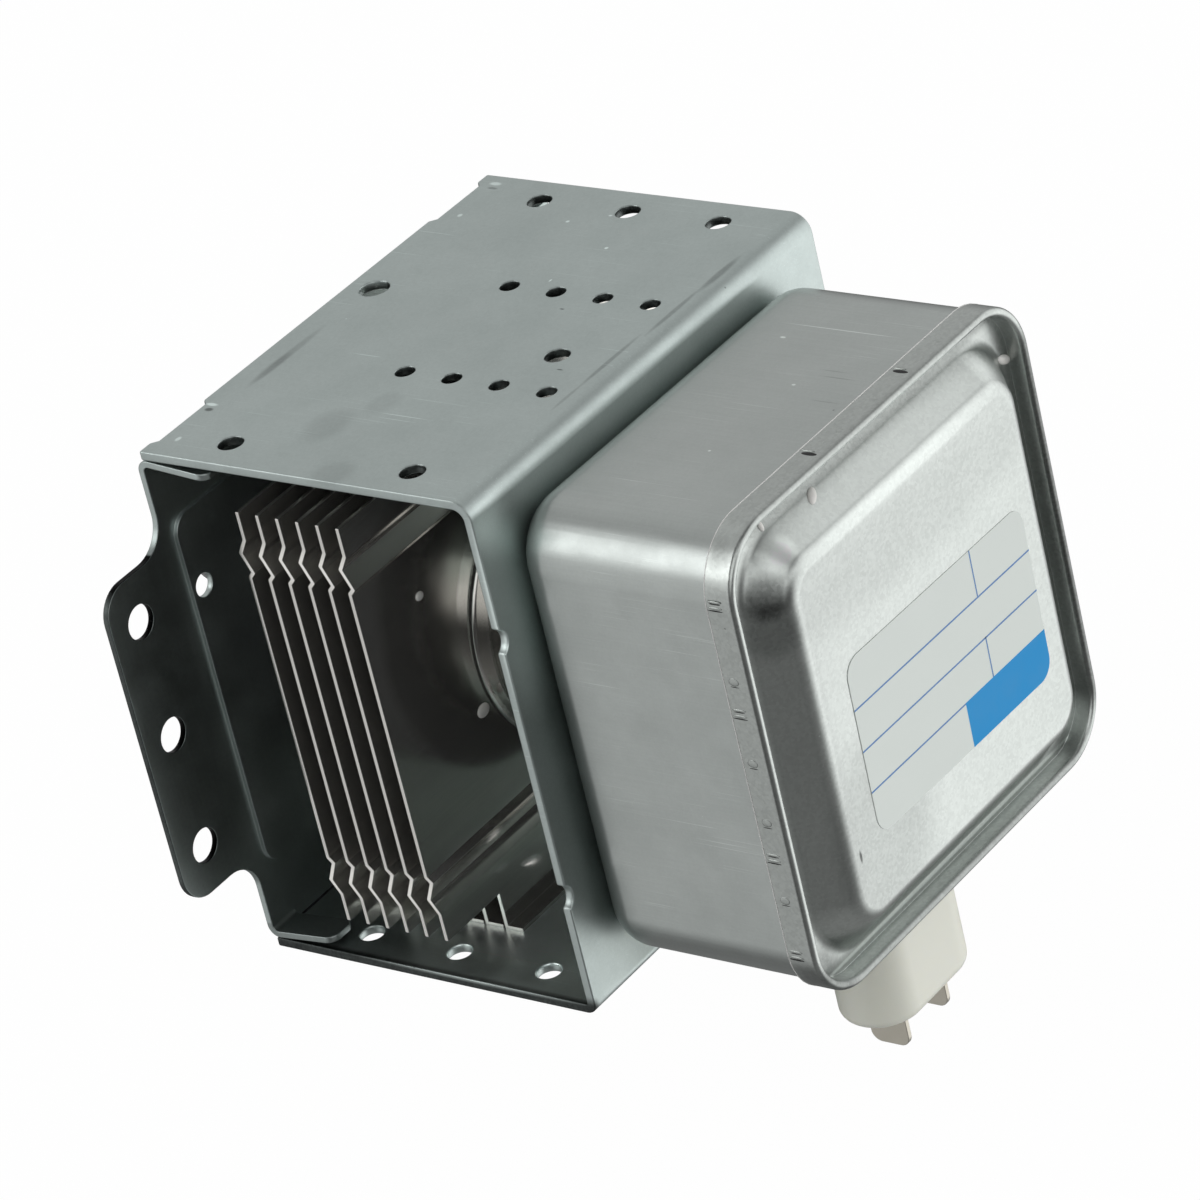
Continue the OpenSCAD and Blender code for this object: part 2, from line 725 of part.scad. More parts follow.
module anode_vanes() {
    color(copper) translate([0, anode_mid_y, 0])
        for (i = [0 : vane_count - 1])
            difference() {
                intersection() {
                    rotate([0, 360 * i / vane_count, 0])
                        translate([vane_tip_r, -vane_h / 2, -vane_t / 2]) cube([anode_r, vane_h, vane_t]);
                    rod_y(bore_r, -vane_h, vane_h);
                }
                strap_cuts(i % 2 == 0);
            }
}

module strap_rings() {
    color(copper) translate([0, anode_mid_y, 0])
        for (turn = [0, 180], r = [strap_r, outer_strap_r])
            rotate([turn, 0, 0]) about_y() strap_section(r, 0);
}

// Dished pole piece, as (radius, depth) from the anode's end
pole_depth = (anode_top_y - anode_low_y) / 2 - vane_h / 2 - pole_gap;
module pole_section() {
    cone_r = bore_r - pole_t;
    polygon([
        [pole_r, 0], [pole_r, -pole_t], [cone_r, -pole_t], [pole_tip_r, -pole_depth], [pole_hole_r, -pole_depth],
        [pole_hole_r, pole_t - pole_depth], [pole_tip_r, pole_t - pole_depth], [cone_r, 0]]);
}

module output_pole_piece() {
    color(iron) difference() {
        translate([0, anode_top_y, 0]) about_y() pole_section();
        translate([antenna_lead_x, 0, 0])
            rod_y(antenna_hole_r, anode_mid_y, anode_top_y + clear);
    }
}

module input_pole_piece() {
    color(iron) translate([0, anode_low_y, 0]) rotate([180, 0, 0]) about_y() pole_section();
}

module output_shell() {
    rim_in_r = ceramic_r - ceramic_wall / 2;
    color(steel) about_y() polygon([
        [anode_r, anode_top_y], [anode_r, out_magnet_y], [neck_r, out_magnet_y],
        [neck_r, output_rim - 2 * shell_step], [ceramic_r, output_rim - shell_step], [ceramic_r, output_rim],
        [rim_in_r, output_rim], [rim_in_r, output_rim - shell_step],
        [neck_r - shell_wall, output_rim - 2 * shell_step], [neck_r - shell_wall, anode_top_y]]);
}

module input_shell() {
    color(steel) about_y() polygon([
        [anode_r, anode_low_y], [anode_r, in_magnet_y], [neck_r, in_magnet_y], [neck_r, stem_rim_y],
        [neck_r - shell_wall, stem_rim_y], [neck_r - shell_wall, anode_low_y]]);
}

exhaust_pinch_y = ceramic_top_y + cap_len / 2;
module antenna_lead() {
    route = [
        [antenna_lead_x, anode_mid_y + vane_h / 2],
        [antenna_lead_x, anode_top_y - pole_t],
        [0, 0],
        [0, exhaust_pinch_y]];
    color(copper) along_z(-antenna_lead_w / 2, antenna_lead_w / 2) polygon(strip(route, antenna_lead_t));
}

module antenna_ceramic() {
    color(alumina) about_y()
        translate([ceramic_r - ceramic_wall, output_rim]) square([ceramic_wall, ceramic_len]);
}

module exhaust_tube() {
    pinch_len = cap_len / 4;
    bore = exhaust_r - exhaust_wall;
    color(copper) {
        about_y() {
            translate([bore, ceramic_top_y]) square([ceramic_r - bore, seal_t]);
            translate([bore, ceramic_top_y]) square([exhaust_wall, exhaust_pinch_y - ceramic_top_y]);
        }
        intersection() {
            rod_y(exhaust_r, exhaust_pinch_y, exhaust_pinch_y + pinch_len);
            along_z(-exhaust_r, exhaust_r) polygon([
                [-exhaust_r, exhaust_pinch_y], [exhaust_r, exhaust_pinch_y],
                [exhaust_pinch, exhaust_pinch_y + pinch_len], [-exhaust_pinch, exhaust_pinch_y + pinch_len]]);
        }
    }
}

module antenna_cap() {
    top_y = ceramic_top_y + seal_t + cap_len;
    color(steel) translate([0, top_y, 0]) about_y() difference() {
        edge_section(cap_r, cap_edge_r, cap_len);
        translate([0, -cap_wall]) edge_section(cap_r - cap_wall, cap_edge_r - cap_wall, cap_len);
    }
}

// The retainer's washer lies in the pressed panel and its collar surrounds the tube's neck
retainer_t = panel_step;
retainer_in_r = neck_r + sheet_fit;
retainer_out_r = retainer_in_r + retainer_t;
module gasket_retainer() {
    color(steel) about_y() {
        translate([retainer_in_r, -panel_step]) square([gasket_r - retainer_in_r, retainer_t]);
        translate([retainer_in_r, -panel_step]) square([retainer_t, gasket_h + retainer_t + panel_step]);
        translate([retainer_in_r, gasket_h]) square([retainer_lip, retainer_t]);
    }
}

module rf_gasket() {
    w = gasket_r - retainer_out_r;
    edge = w / 4;
    color(steel) about_y() translate([retainer_out_r + w / 2, gasket_h / 2]) round_rect(w, gasket_h, edge);
}

// Points of a helix along +Z about the origin
function helix(r, from_z, to_z, turns, per_turn, start = 0) =
    [for (i = [0 : turns * per_turn])
        let (a = start + 360 * i / per_turn)
        [r * cos(a), r * sin(a), from_z + (to_z - from_z) * i / (turns * per_turn)]];

module filament() {
    reach = filament_h / 2 - filament_wire_r;
    color(molybdenum) translate([0, anode_mid_y, 0]) rotate([-90, 0, 0])
        swept_wire(helix(filament_r, -reach, reach, filament_turns, 12), filament_wire_r, 6, [0, 0, 1]);
}

module top_end_hat() {
    color(molybdenum) about_y() translate([lead_r, anode_mid_y + hat_y]) square([hat_r - lead_r, hat_t]);
}

module bottom_end_hat() {
    hole_r = lead_r + hat_clear;
    color(molybdenum) about_y()
        translate([hole_r, anode_mid_y - hat_y - hat_t]) square([hat_r - hole_r, hat_t]);
}

module centre_lead() {
    color(molybdenum) rod_y(lead_r, lead_end_y, anode_mid_y + hat_y + hat_t);
}

module side_lead() {
    color(molybdenum) translate([-side_lead_x, 0, 0])
        rod_y(lead_r, lead_end_y, anode_mid_y - hat_y - hat_t);
}

module stem_ceramic() {
    step_y = stem_rim_y - stem_len / 2;
    step_r = neck_r - stem_step;
    color(alumina) difference() {
        union() {
            rod_y(neck_r, step_y, stem_rim_y);
            rod_y(step_r, stem_end_y, step_y);
        }
        for (x = [0, -side_lead_x])
            translate([x, 0, 0]) rod_y(lead_r, stem_end_y - clear, stem_rim_y + clear);
    }
}

// The four places of the box's rivets
module box_rivet_places() {
    for (sx = [-1, 1], sz = [-1, 1])
        translate([sx * box_rivet_x, 0, sz * box_rivet_x]) children();
}

// Places of the flange's two rivets, along Z
module flange_rivet_places() {
    for (s = [-1, 1])
        translate([s * flange_rivet_pitch / 2, case_axis_y, 0]) children();
}

// The capacitor's inner case, which passes through the flange and the box's wall
inner_case_w = case_w - 2 * inner_case_inset;
inner_case_h = case_h - 2 * inner_case_inset;
module inner_case_outline() {
    translate([0, case_axis_y]) round_rect(inner_case_w, inner_case_h, inner_case_h / 2 - sheet_fit);
}

module filter_box() {
    color(zinc) difference() {
        translate([0, web_out_y, 0]) swept_block(box_w, box_w, box_corner_r, -box_d, 0)
            edge_section(box_corner_r, box_edge_r, box_d);
        translate([0, box_floor_y, 0])
            swept_block(box_w - 2 * box_t, box_w - 2 * box_t, box_corner_r - box_t, -box_d, 0)
                edge_section(box_corner_r - box_t, box_edge_r - box_t, box_d);
        rod_y(web_hole_r, box_floor_y - clear, web_out_y + clear);
        box_rivet_places() rod_y(rivet_r, box_floor_y - clear, web_out_y + clear);
        along_z(box_wall_z - clear, box_wall_z + box_t + clear) inner_case_outline();
        flange_rivet_places() along_z(box_wall_z - clear, box_wall_z + box_t + clear) circle(rivet_r);
    }
}

// Half section of the lid's raised panel, as (distance, height): a rounded shoulder and a hollow foot,
// with the angle through which the sheet turns at each
raise_turn = 55;
module raise_section(r, height, skin) {
    foot_x = r - skin;
    top_x = r - raise_slope - skin;
    polygon(concat(
        [[0, -clear], [foot_x, -clear], [foot_x, 0]],
        arc([foot_x, raise_foot_r], raise_foot_r, 270, 270 - raise_turn),
        arc([top_x, height - raise_shoulder_r], raise_shoulder_r, 90 - raise_turn, 90),
        [[0, height]]));
}

module filter_box_lid() {
    rim_r = rim_w / 2;
    crest_run = lid_w / 2 - rim_r;
    corner_run = lid_w / 2 - lid_corner_r;
    color(zinc_light) {
        // Skirt, rim and groove floor
        along_y(box_open_y, box_open_y + skirt_len) difference() {
            round_rect(lid_w, lid_w, lid_corner_r);
            round_rect(lid_w - 2 * lid_t, lid_w - 2 * lid_t, lid_corner_r - lid_t);
        }
        along_y(crest_y + rim_r, box_open_y) difference() {
            round_rect(lid_w, lid_w, lid_corner_r);
            round_rect(lid_w - 2 * rim_w, lid_w - 2 * rim_w, lid_corner_r - rim_w);
        }
        along_y(groove_y, box_open_y) difference() {
            round_rect(lid_w - rim_w, lid_w - rim_w, lid_corner_r - rim_r);
            round_rect(raise_w - 2 * lid_t, raise_w - 2 * lid_t, raise_corner_r - lid_t);
        }
        // Round crest of the rim
        translate([0, crest_y + rim_r, 0]) for (turn = [0 : 90 : 270]) rotate([0, turn, 0]) {
            translate([corner_run, 0, -corner_run]) about_y(90)
                translate([lid_corner_r - rim_r, 0]) circle(rim_r);
            translate([crest_run, 0, -corner_run]) cylinder(h = 2 * corner_run, r = rim_r);
        }
        // Raised panel
        translate([0, groove_y, 0]) rotate([180, 0, 0]) difference() {
            intersection() {
                swept_block(raise_w, raise_w, raise_corner_r, -clear, raise_h)
                    raise_section(raise_corner_r, raise_h, 0);
                translate([-lid_w, -lid_t, -lid_w]) cube([2 * lid_w, raise_h + clear, 2 * lid_w]);
            }
            translate([0, -lid_t, 0]) swept_block(raise_w, raise_w, raise_corner_r, -clear, raise_h)
                raise_section(raise_corner_r, raise_h, lid_t);
        }
    }
}

module box_rivets() {
    color(steel) box_rivet_places()
        translate([0, box_floor_y, 0]) rivet(yoke_t + box_t);
}

module capacitor_flange() {
    color(zinc_light) along_z(flange_z, box_wall_z) difference() {
        translate([0, case_axis_y]) round_rect(case_flange_w, case_flange_h, case_flange_r);
        inner_case_outline();
        flange_rivet_places() circle(rivet_r);
    }
}

module flange_rivets() {
    color(steel) flange_rivet_places()
        translate([0, 0, flange_z]) rotate([90, 0, 0]) rivet(case_flange_t + box_t);
}

// One terminal: a blade below the case and a rod up through the capacitor
inner_case_top_z = box_wall_z + inner_case_len;
module terminal(s) {
    translate([s * blade_pitch / 2, case_axis_y, 0]) {
        along_x(blade_t) {
            translate([-blade_w / 2, blade_tip_z + blade_r]) square([blade_w, blade_len + blade_root - blade_r]);
            translate([0, blade_tip_z + blade_r]) square([blade_w - 2 * blade_r, 2 * blade_r], center = true);
            for (side = [-1, 1])
                translate([side * (blade_w / 2 - blade_r), blade_tip_z + blade_r]) circle(blade_r);
        }
        along_z(case_low_z + blade_root - clear, inner_case_top_z + rod_tail) circle(rod_r);
    }
}

module terminal_blade_1() {
    color(tinned) terminal(-1);
}

module terminal_blade_2() {
    color(tinned) terminal(1);
}

module capacitor_case() {
    corner_r = case_h / 2 - sheet_fit;
    color(off_white) difference() {
        translate([0, case_axis_y, case_low_z]) rotate([-90, 0, 0])
            swept_block(case_w, case_h, corner_r, -case_len, 0) edge_section(corner_r, case_edge_r, case_len);
        for (s = [-1, 1]) terminal(s);
    }
}

module capacitor_inner_case() {
    color(off_white) difference() {
        along_z(flange_z, inner_case_top_z) inner_case_outline();
        for (s = [-1, 1]) terminal(s);
    }
}

// Middle line of a choke: from a cathode lead, round the core and on to a terminal rod
module choke(s, lead_x) {
    low_z = choke_top_z - choke_turns * choke_pitch;
    start = [lead_x + s * (lead_r + sheet_fit), lead_end_y + choke_wire_r, 0];
    stop = [s * (blade_pitch / 2 + rod_r + sheet_fit), case_axis_y, inner_case_top_z + rod_tail / 2];
    centre = [s * choke_x, choke_axis_y, 0];
    turns = [for (p = helix(choke_r, choke_top_z, low_z, choke_turns, 12, 180)) centre + [s * p[0], p[1], p[2]]];
    swept_wire(concat([start], turns, [stop]), choke_wire_r, 8, [0, 0, 1]);
}

module choke_coil_1() {
    color(copper) choke(-1, -side_lead_x);
}

module choke_coil_2() {
    color(copper) choke(1, 0);
}

module choke_core(s) {
    low_z = choke_top_z - choke_turns * choke_pitch - choke_core_past;
    r = choke_r - choke_wire_r - choke_core_gap;
    color(ferrite) translate([s * choke_x, choke_axis_y, 0])
        along_z(low_z, choke_top_z + choke_core_past) circle(r);
}

module choke_core_1() {
    choke_core(-1);
}

module choke_core_2() {
    choke_core(1);
}

yoke();
mounting_plate();
for (i = [0 : fin_count - 1]) cooling_fin(i);
output_magnet();
input_magnet();
anode_cylinder();
anode_vanes();
strap_rings();
output_pole_piece();
input_pole_piece();
output_shell();
input_shell();
antenna_lead();
antenna_ceramic();
exhaust_tube();
antenna_cap();
gasket_retainer();
rf_gasket();
filament();
top_end_hat();
bottom_end_hat();
centre_lead();
side_lead();
stem_ceramic();
filter_box();
filter_box_lid();
box_rivets();
capacitor_flange();
capacitor_case();
capacitor_inner_case();
flange_rivets();
terminal_blade_1();
terminal_blade_2();
choke_coil_1();
choke_coil_2();
choke_core_1();
choke_core_2();
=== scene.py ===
# %% [markdown]
# A microwave-oven magnetron, dressed for its picture.
# The solid model already holds every piece at its true size: a folded steel yoke, a mounting plate with
# ears, six crimped fins, two ring magnets, the vacuum tube, and a drawn filter box with a pressed lid.
# This lesson gives those pieces their looks. Every step says what the thing is on the real object, how
# it could be made, and why it is made this way here. All sizes are in millimetres in the text and in
# the named values, and are turned into metres when a mesh is written.

# %% Load the frame
import math

import bmesh
import bpy
from mathutils import Matrix, Quaternion, Vector
from mathutils.bvhtree import BVHTree


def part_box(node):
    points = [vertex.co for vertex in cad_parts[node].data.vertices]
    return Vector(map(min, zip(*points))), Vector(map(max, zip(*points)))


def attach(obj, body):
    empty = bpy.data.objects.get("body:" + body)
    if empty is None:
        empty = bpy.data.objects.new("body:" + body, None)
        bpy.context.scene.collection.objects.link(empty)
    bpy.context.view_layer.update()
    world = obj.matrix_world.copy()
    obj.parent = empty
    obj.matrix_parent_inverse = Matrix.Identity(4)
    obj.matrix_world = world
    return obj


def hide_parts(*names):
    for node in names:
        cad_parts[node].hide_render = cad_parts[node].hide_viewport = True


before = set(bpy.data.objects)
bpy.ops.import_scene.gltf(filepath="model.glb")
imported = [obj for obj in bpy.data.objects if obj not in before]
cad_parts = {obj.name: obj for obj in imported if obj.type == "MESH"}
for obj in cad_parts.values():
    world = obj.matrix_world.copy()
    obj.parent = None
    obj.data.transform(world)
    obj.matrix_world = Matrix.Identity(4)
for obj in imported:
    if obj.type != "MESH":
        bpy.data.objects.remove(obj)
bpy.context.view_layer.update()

MM = 0.001
BODY = "root"
scene = bpy.context.scene
print("nodes in the frame:", len(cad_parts))

# %% [markdown]
# Nothing here is placed by eye alone. The box of each solid says where its faces are, so a label or a mark
# is set on the right face, and it follows if the solid is changed later.

# %% Read the faces of the main solids


def node_box(node):
    """Lowest and highest corner of a solid, in millimetres."""
    low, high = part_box(node)
    return Vector(low) / MM, Vector(high) / MM


yoke_low, yoke_high = node_box("yoke")
lid_low, lid_high = node_box("filter_box_lid")
panel_y = lid_low.y
lid_half = lid_high.x
web_y = yoke_low.y
leg_top_z = yoke_high.z
plate_outer_y = node_box("mounting_plate")[1].y
box_top_z = node_box("filter_box")[1].z
fin_top_z = node_box("cooling_fin_6")[1].z
lowest_z = node_box("terminal_blade_1")[0].z
print("lid panel at y =", round(panel_y, 2), " web at y =", round(web_y, 2))
print("leg top at z =", round(leg_top_z, 2), " box top at z =", round(box_top_z, 2))

# %% [markdown]
# The camera stands where the photographer's did. Azimuth, elevation and roll were found from the corners
# of the yoke and the box, and the long lens keeps the edges nearly parallel. A camera looks along its own
# -Z, so the three axes are built from the viewing direction and then turned by the roll.

# %% Camera
CAMERA_AZIMUTH = 47.959
CAMERA_ELEVATION = 28.6135
CAMERA_ROLL = -13.774
CAMERA_DISTANCE = 850.0
CAMERA_TARGET = Vector((2.952, -36.351, -3.318))
PHOTO_PIXELS = 1200
FOCAL_PIXELS = 6149.9
SENSOR = 36.0

azimuth = math.radians(CAMERA_AZIMUTH)
elevation = math.radians(CAMERA_ELEVATION)
roll = math.radians(CAMERA_ROLL)
forward = Vector((
    math.sin(azimuth) * math.cos(elevation),
    math.cos(azimuth) * math.cos(elevation),
    -math.sin(elevation)))
level_right = forward.cross(Vector((0, 0, 1))).normalized()
level_up = level_right.cross(forward)
camera_right = level_right * math.cos(roll) + level_up * math.sin(roll)
camera_up = camera_right.cross(forward)

camera_data = bpy.data.cameras.new("photo_camera")
camera_data.sensor_width = SENSOR
camera_data.lens = FOCAL_PIXELS * SENSOR / PHOTO_PIXELS
camera_data.clip_start = 0.01
camera = bpy.data.objects.new("photo_camera", camera_data)
axes = Matrix((camera_right, camera_up, -forward)).transposed().to_4x4()
camera.matrix_world = Matrix.Translation((CAMERA_TARGET - forward * CAMERA_DISTANCE) * MM) @ axes
scene.collection.objects.link(camera)
scene.camera = camera
scene.view_settings.view_transform = "Standard"
print("lens", round(camera_data.lens, 1), "mm")

# %% [markdown]
# Bare metal shows little but what it reflects, so the light is designed first. The studio is painted into
# the world as a few soft boxes, each placed where one face of the object mirrors the camera's view: a key
# for the lid's panel, one above and behind for the legs, one behind on the left for the box's side, a
# small bright one for the box's round corner, a fill beside the camera for the plastic and the label, a
# small one in front for the lid's upper corner, and a weak glow from below like a white table's. A dot
# product with a direction and a smooth ramp make one soft box. The camera itself sees a white wall.

# %% Studio light


def put(tree, value, socket):
    """Links an output into an input, or sets the input to a plain value."""
    if isinstance(value, bpy.types.NodeSocket):
        tree.links.new(value, socket)
    else:
        socket.default_value = value


def add_node(tree, kind, **values):
    """New node with its inputs set or linked by name; an underscore stands for a space."""
    node = tree.nodes.new(kind)
    for name, value in values.items():
        put(tree, value, node.inputs[name.replace("_", " ")])
    return node


def calc(tree, operation, *operands):
    """Output of a math node; each operand is a socket or a number."""
    node = tree.nodes.new("ShaderNodeMath")
    node.operation = operation
    for operand, socket in zip(operands, node.inputs):
        put(tree, operand, socket)
    return node.outputs[0]


def ramp(tree, value, low, high, to_low=0.0, to_high=1.0):
    """Smooth step of a value from one range to another."""
    node = add_node(tree, "ShaderNodeMapRange", Value=value, From_Min=low, From_Max=high, To_Min=to_low,
                    To_Max=to_high)
    node.interpolation_type = "SMOOTHSTEP"
    return node.outputs["Result"]


def end_for_camera(tree, seen, others, output):
    """Ends a tree with one shader for the camera and another for every other ray."""
    is_camera = tree.nodes.new("ShaderNodeLightPath").outputs["Is Camera Ray"]
    choice = add_node(tree, "ShaderNodeMixShader", Fac=is_camera)
    put(tree, others.outputs[0], choice.inputs[1])
    put(tree, seen.outputs[0], choice.inputs[2])
    add_node(tree, output, Surface=choice.outputs[0])


# Direction, angle of the even middle, angle of the soft edge, strength
SOFT_BOXES = (
    ((0.70, -0.66, -0.12), 20, 56, 1.75),
    ((0.50, 0.45, 0.74), 18, 66, 0.80),
    ((-0.78, 0.60, -0.20), 10, 42, 0.98),
    ((-0.62, 0.59, 0.50), 8, 24, 3.2),
    ((-0.65, -0.59, 0.48), 8, 36, 1.6),
    ((0.00, -0.90, 0.44), 5, 18, 1.3),
    ((0.10, -0.20, -0.97), 25, 80, 0.30),
)
STUDIO_DARK = 0.05
WALL_WHITE = 1.0

world = bpy.data.worlds.new("studio")
world.use_nodes = True
scene.world = world
sky = world.node_tree
sky.nodes.clear()
direction_socket = sky.nodes.new("ShaderNodeTexCoord").outputs["Generated"]
brightness = STUDIO_DARK
for direction, middle, edge, strength in SOFT_BOXES:
    facing = sky.nodes.new("ShaderNodeVectorMath")
    facing.operation = "DOT_PRODUCT"
    facing.inputs[1].default_value = Vector(direction).normalized()
    sky.links.new(direction_socket, facing.inputs[0])
    edge_cosine = math.cos(math.radians(edge))
    middle_cosine = math.cos(math.radians(middle))
    soft_box = ramp(sky, facing.outputs["Value"], edge_cosine, middle_cosine, 0.0, strength)
    brightness = calc(sky, "ADD", soft_box, brightness)
studio = add_node(sky, "ShaderNodeBackground", Strength=brightness)
wall = add_node(sky, "ShaderNodeBackground", Strength=WALL_WHITE)
end_for_camera(sky, wall, studio, "ShaderNodeOutputWorld")
print("soft boxes:", len(SOFT_BOXES))

# %% [markdown]
# The floor is a plain pale sheet that fades into the white wall. To the camera it glows almost white, with
# a hint of shading left in it. To every other ray it is clear, so that the studio lights the underside too
# and no hard shadow falls, as on a lit product table.

# %% Floor
FLOOR_GLOW = 0.985
FLOOR_GREY = (0.9, 0.9, 0.9, 1.0)
FLOOR_REACH = 3.0
FLOOR_CORNERS = ((-1, -1), (1, -1), (1, 1), (-1, 1))

floor_finish = bpy.data.materials.new("pale_floor")
floor_finish.use_nodes = True
tree = floor_finish.node_tree
tree.nodes.clear()
glow = add_node(tree, "ShaderNodeEmission", Strength=1.0)
shade = add_node(tree, "ShaderNodeBsdfDiffuse", Color=FLOOR_GREY)
paper = add_node(tree, "ShaderNodeMixShader", Fac=FLOOR_GLOW)
tree.links.new(shade.outputs[0], paper.inputs[1])
tree.links.new(glow.outputs[0], paper.inputs[2])
clear = tree.nodes.new("ShaderNodeBsdfTransparent")
end_for_camera(tree, paper, clear, "ShaderNodeOutputMaterial")

floor_mesh = bpy.data.meshes.new("floor")
corners = [(x * FLOOR_REACH, y * FLOOR_REACH, lowest_z * MM) for x, y in FLOOR_CORNERS]
floor_mesh.from_pydata(corners, [], [(0, 1, 2, 3)])
floor_mesh.materials.append(floor_finish)
floor = bpy.data.objects.new("floor", floor_mesh)
scene.collection.objects.link(floor)
print("floor at z =", round(lowest_z, 2), "mm")

# %% [markdown]
# Every finish below is built from the same few patterns, all read from Object coordinates, so a pattern
# sits still on its piece. Clouds are slow noise, grain is fast noise, draw lines are noise stretched along
# one axis, hairlines are the rare peaks of such lines, and specks are the centres of Voronoi cells.

# %% Pattern helpers
PATCH_SIZE = 16.0


def new_finish(name, **sockets):
    """Material with one Principled shader; constants go on the shader's own sockets."""
    material = bpy.data.materials.new(name)
    material.use_nodes = True
    tree = material.node_tree
    shader = tree.nodes["Principled BSDF"]
    for socket, value in sockets.items():
        shader.inputs[socket.replace("_", " ")].default_value = value
    return material, tree, shader


def place_on(tree, stretch=(1.0, 1.0, 1.0), turn=(0.0, 0.0, 0.0)):
    """Object coordinates, turned by angles in degrees and scaled along each axis."""
    place = tree.nodes.new("ShaderNodeTexCoord").outputs["Object"]
    angles = [math.radians(angle) for angle in turn]
    return add_node(tree, "ShaderNodeMapping", Vector=place, Scale=stretch, Rotation=angles).outputs[0]


def noise(tree, vector, size, detail=2.0, rough=0.5):
    """Noise with features of about the given size in millimetres."""
    node = add_node(tree, "ShaderNodeTexNoise", Vector=vector, Scale=1.0 / (size * MM), Detail=detail,
                    Roughness=rough)
    return node.outputs["Fac"]


def cells(tree, vector, size):
    """Outputs of a Voronoi pattern with cells of about the given size in millimetres."""
    return add_node(tree, "ShaderNodeTexVoronoi", Vector=vector, Scale=1.0 / (size * MM)).outputs


def specks(tree, vector, spacing, radius):
    """Small round dots, about one in each cell of the given spacing, in millimetres."""
    edge = radius / spacing
    return ramp(tree, cells(tree, vector, spacing)["Distance"], edge, edge * 0.6)


def hairlines(tree, axis, turn, width, length, rarity):
    """Thin scratches along an axis, turned a little, in patches; rarity is near 0.7."""
    stretch = [1.0, 1.0, 1.0]
    stretch[axis] = width / length
    lines = noise(tree, place_on(tree, stretch, turn), width, 1.0)
    patches = ramp(tree, noise(tree, place_on(tree), PATCH_SIZE, 1.0), 0.45, 0.60)
    return calc(tree, "MULTIPLY", ramp(tree, lines, rarity, rarity + 0.05), patches)


def centred(tree, value, amount):
    """A pattern turned into a change round zero of a given amount."""
    return calc(tree, "MULTIPLY", calc(tree, "SUBTRACT", value, 0.5), amount)


def total(tree, *values):
    """Sum of sockets and numbers."""
    result = values[0]
    for value in values[1:]:
        result = calc(tree, "ADD", value, result)
    return result


def tinted(tree, shader, tint, level):
    """Base colour: a tint times a level socket."""
    node = tree.nodes.new("ShaderNodeVectorMath")
    node.operation = "SCALE"
    node.inputs[0].default_value = tint
    tree.links.new(level, node.inputs["Scale"])
    tree.links.new(node.outputs[0], shader.inputs["Base Color"])


def relief(tree, shader, height, depth):
    """Bump of a given depth in millimetres from a height socket."""
    node = add_node(tree, "ShaderNodeBump", Height=height, Strength=1.0, Distance=depth * MM)
    tree.links.new(node.outputs["Normal"], shader.inputs["Normal"])


print("pattern helpers ready")

# %% [markdown]
# Zinc-coated sheet is satin, a little cloudy, with a fine grain, faint rolling lines, hair scratches from
# handling and a few specks. It is a metal, so its colour is a tint of what it reflects, and most of its
# life comes from roughness that changes slowly. Single marks, such as a rub line, have their own place and
# size, so each is a soft ellipsoid that lightens or darkens the coat. Many such ellipsoids are painted
# light and shade instead: a dent from the staking tool is a painted highlight beside a painted shadow, and
# whole slopes and edges get painted light and shade.

# %% Sheet-metal finishes
# Sizes of the coat's patterns in millimetres, and how much some of them change the coat
LINE_WIDTH = 0.30
LINE_STRETCH = 0.015
CLOUD_SIZE = 16.0
WEAR_SIZE = 7.0
GRAIN_SIZE = 0.30
GRAIN_AMOUNT = 0.10
SPANGLE_SIZE = 0.42
LIGHT_DOT_AMOUNT = 0.35
DARK_DOT_AMOUNT = -0.40
CROSSING_SHARE = 0.7
MASK_EDGE = 0.5


def spot(tree, centre, half):
    """Soft ellipsoid, from its centre and half sizes in millimetres: one inside, zero outside."""
    place = tree.nodes.new("ShaderNodeTexCoord").outputs["Object"]
    mapping = add_node(tree, "ShaderNodeMapping", Vector=place, Location=Vector(centre) * MM,
                       Scale=Vector(half) * MM)
    mapping.vector_type = "TEXTURE"
    reach = tree.nodes.new("ShaderNodeVectorMath")
    reach.operation = "LENGTH"
    tree.links.new(mapping.outputs["Vector"], reach.inputs[0])
    return ramp(tree, reach.outputs["Value"], 1.0, 0.4)


def flat_marks(level, depth, rows):
    """Marks on a level face: each row is X, Y, half sizes along X and Y, and a shade."""
    return [((x, y, level), (half_x, half_y, depth), shade) for x, y, half_x, half_y, shade in rows]


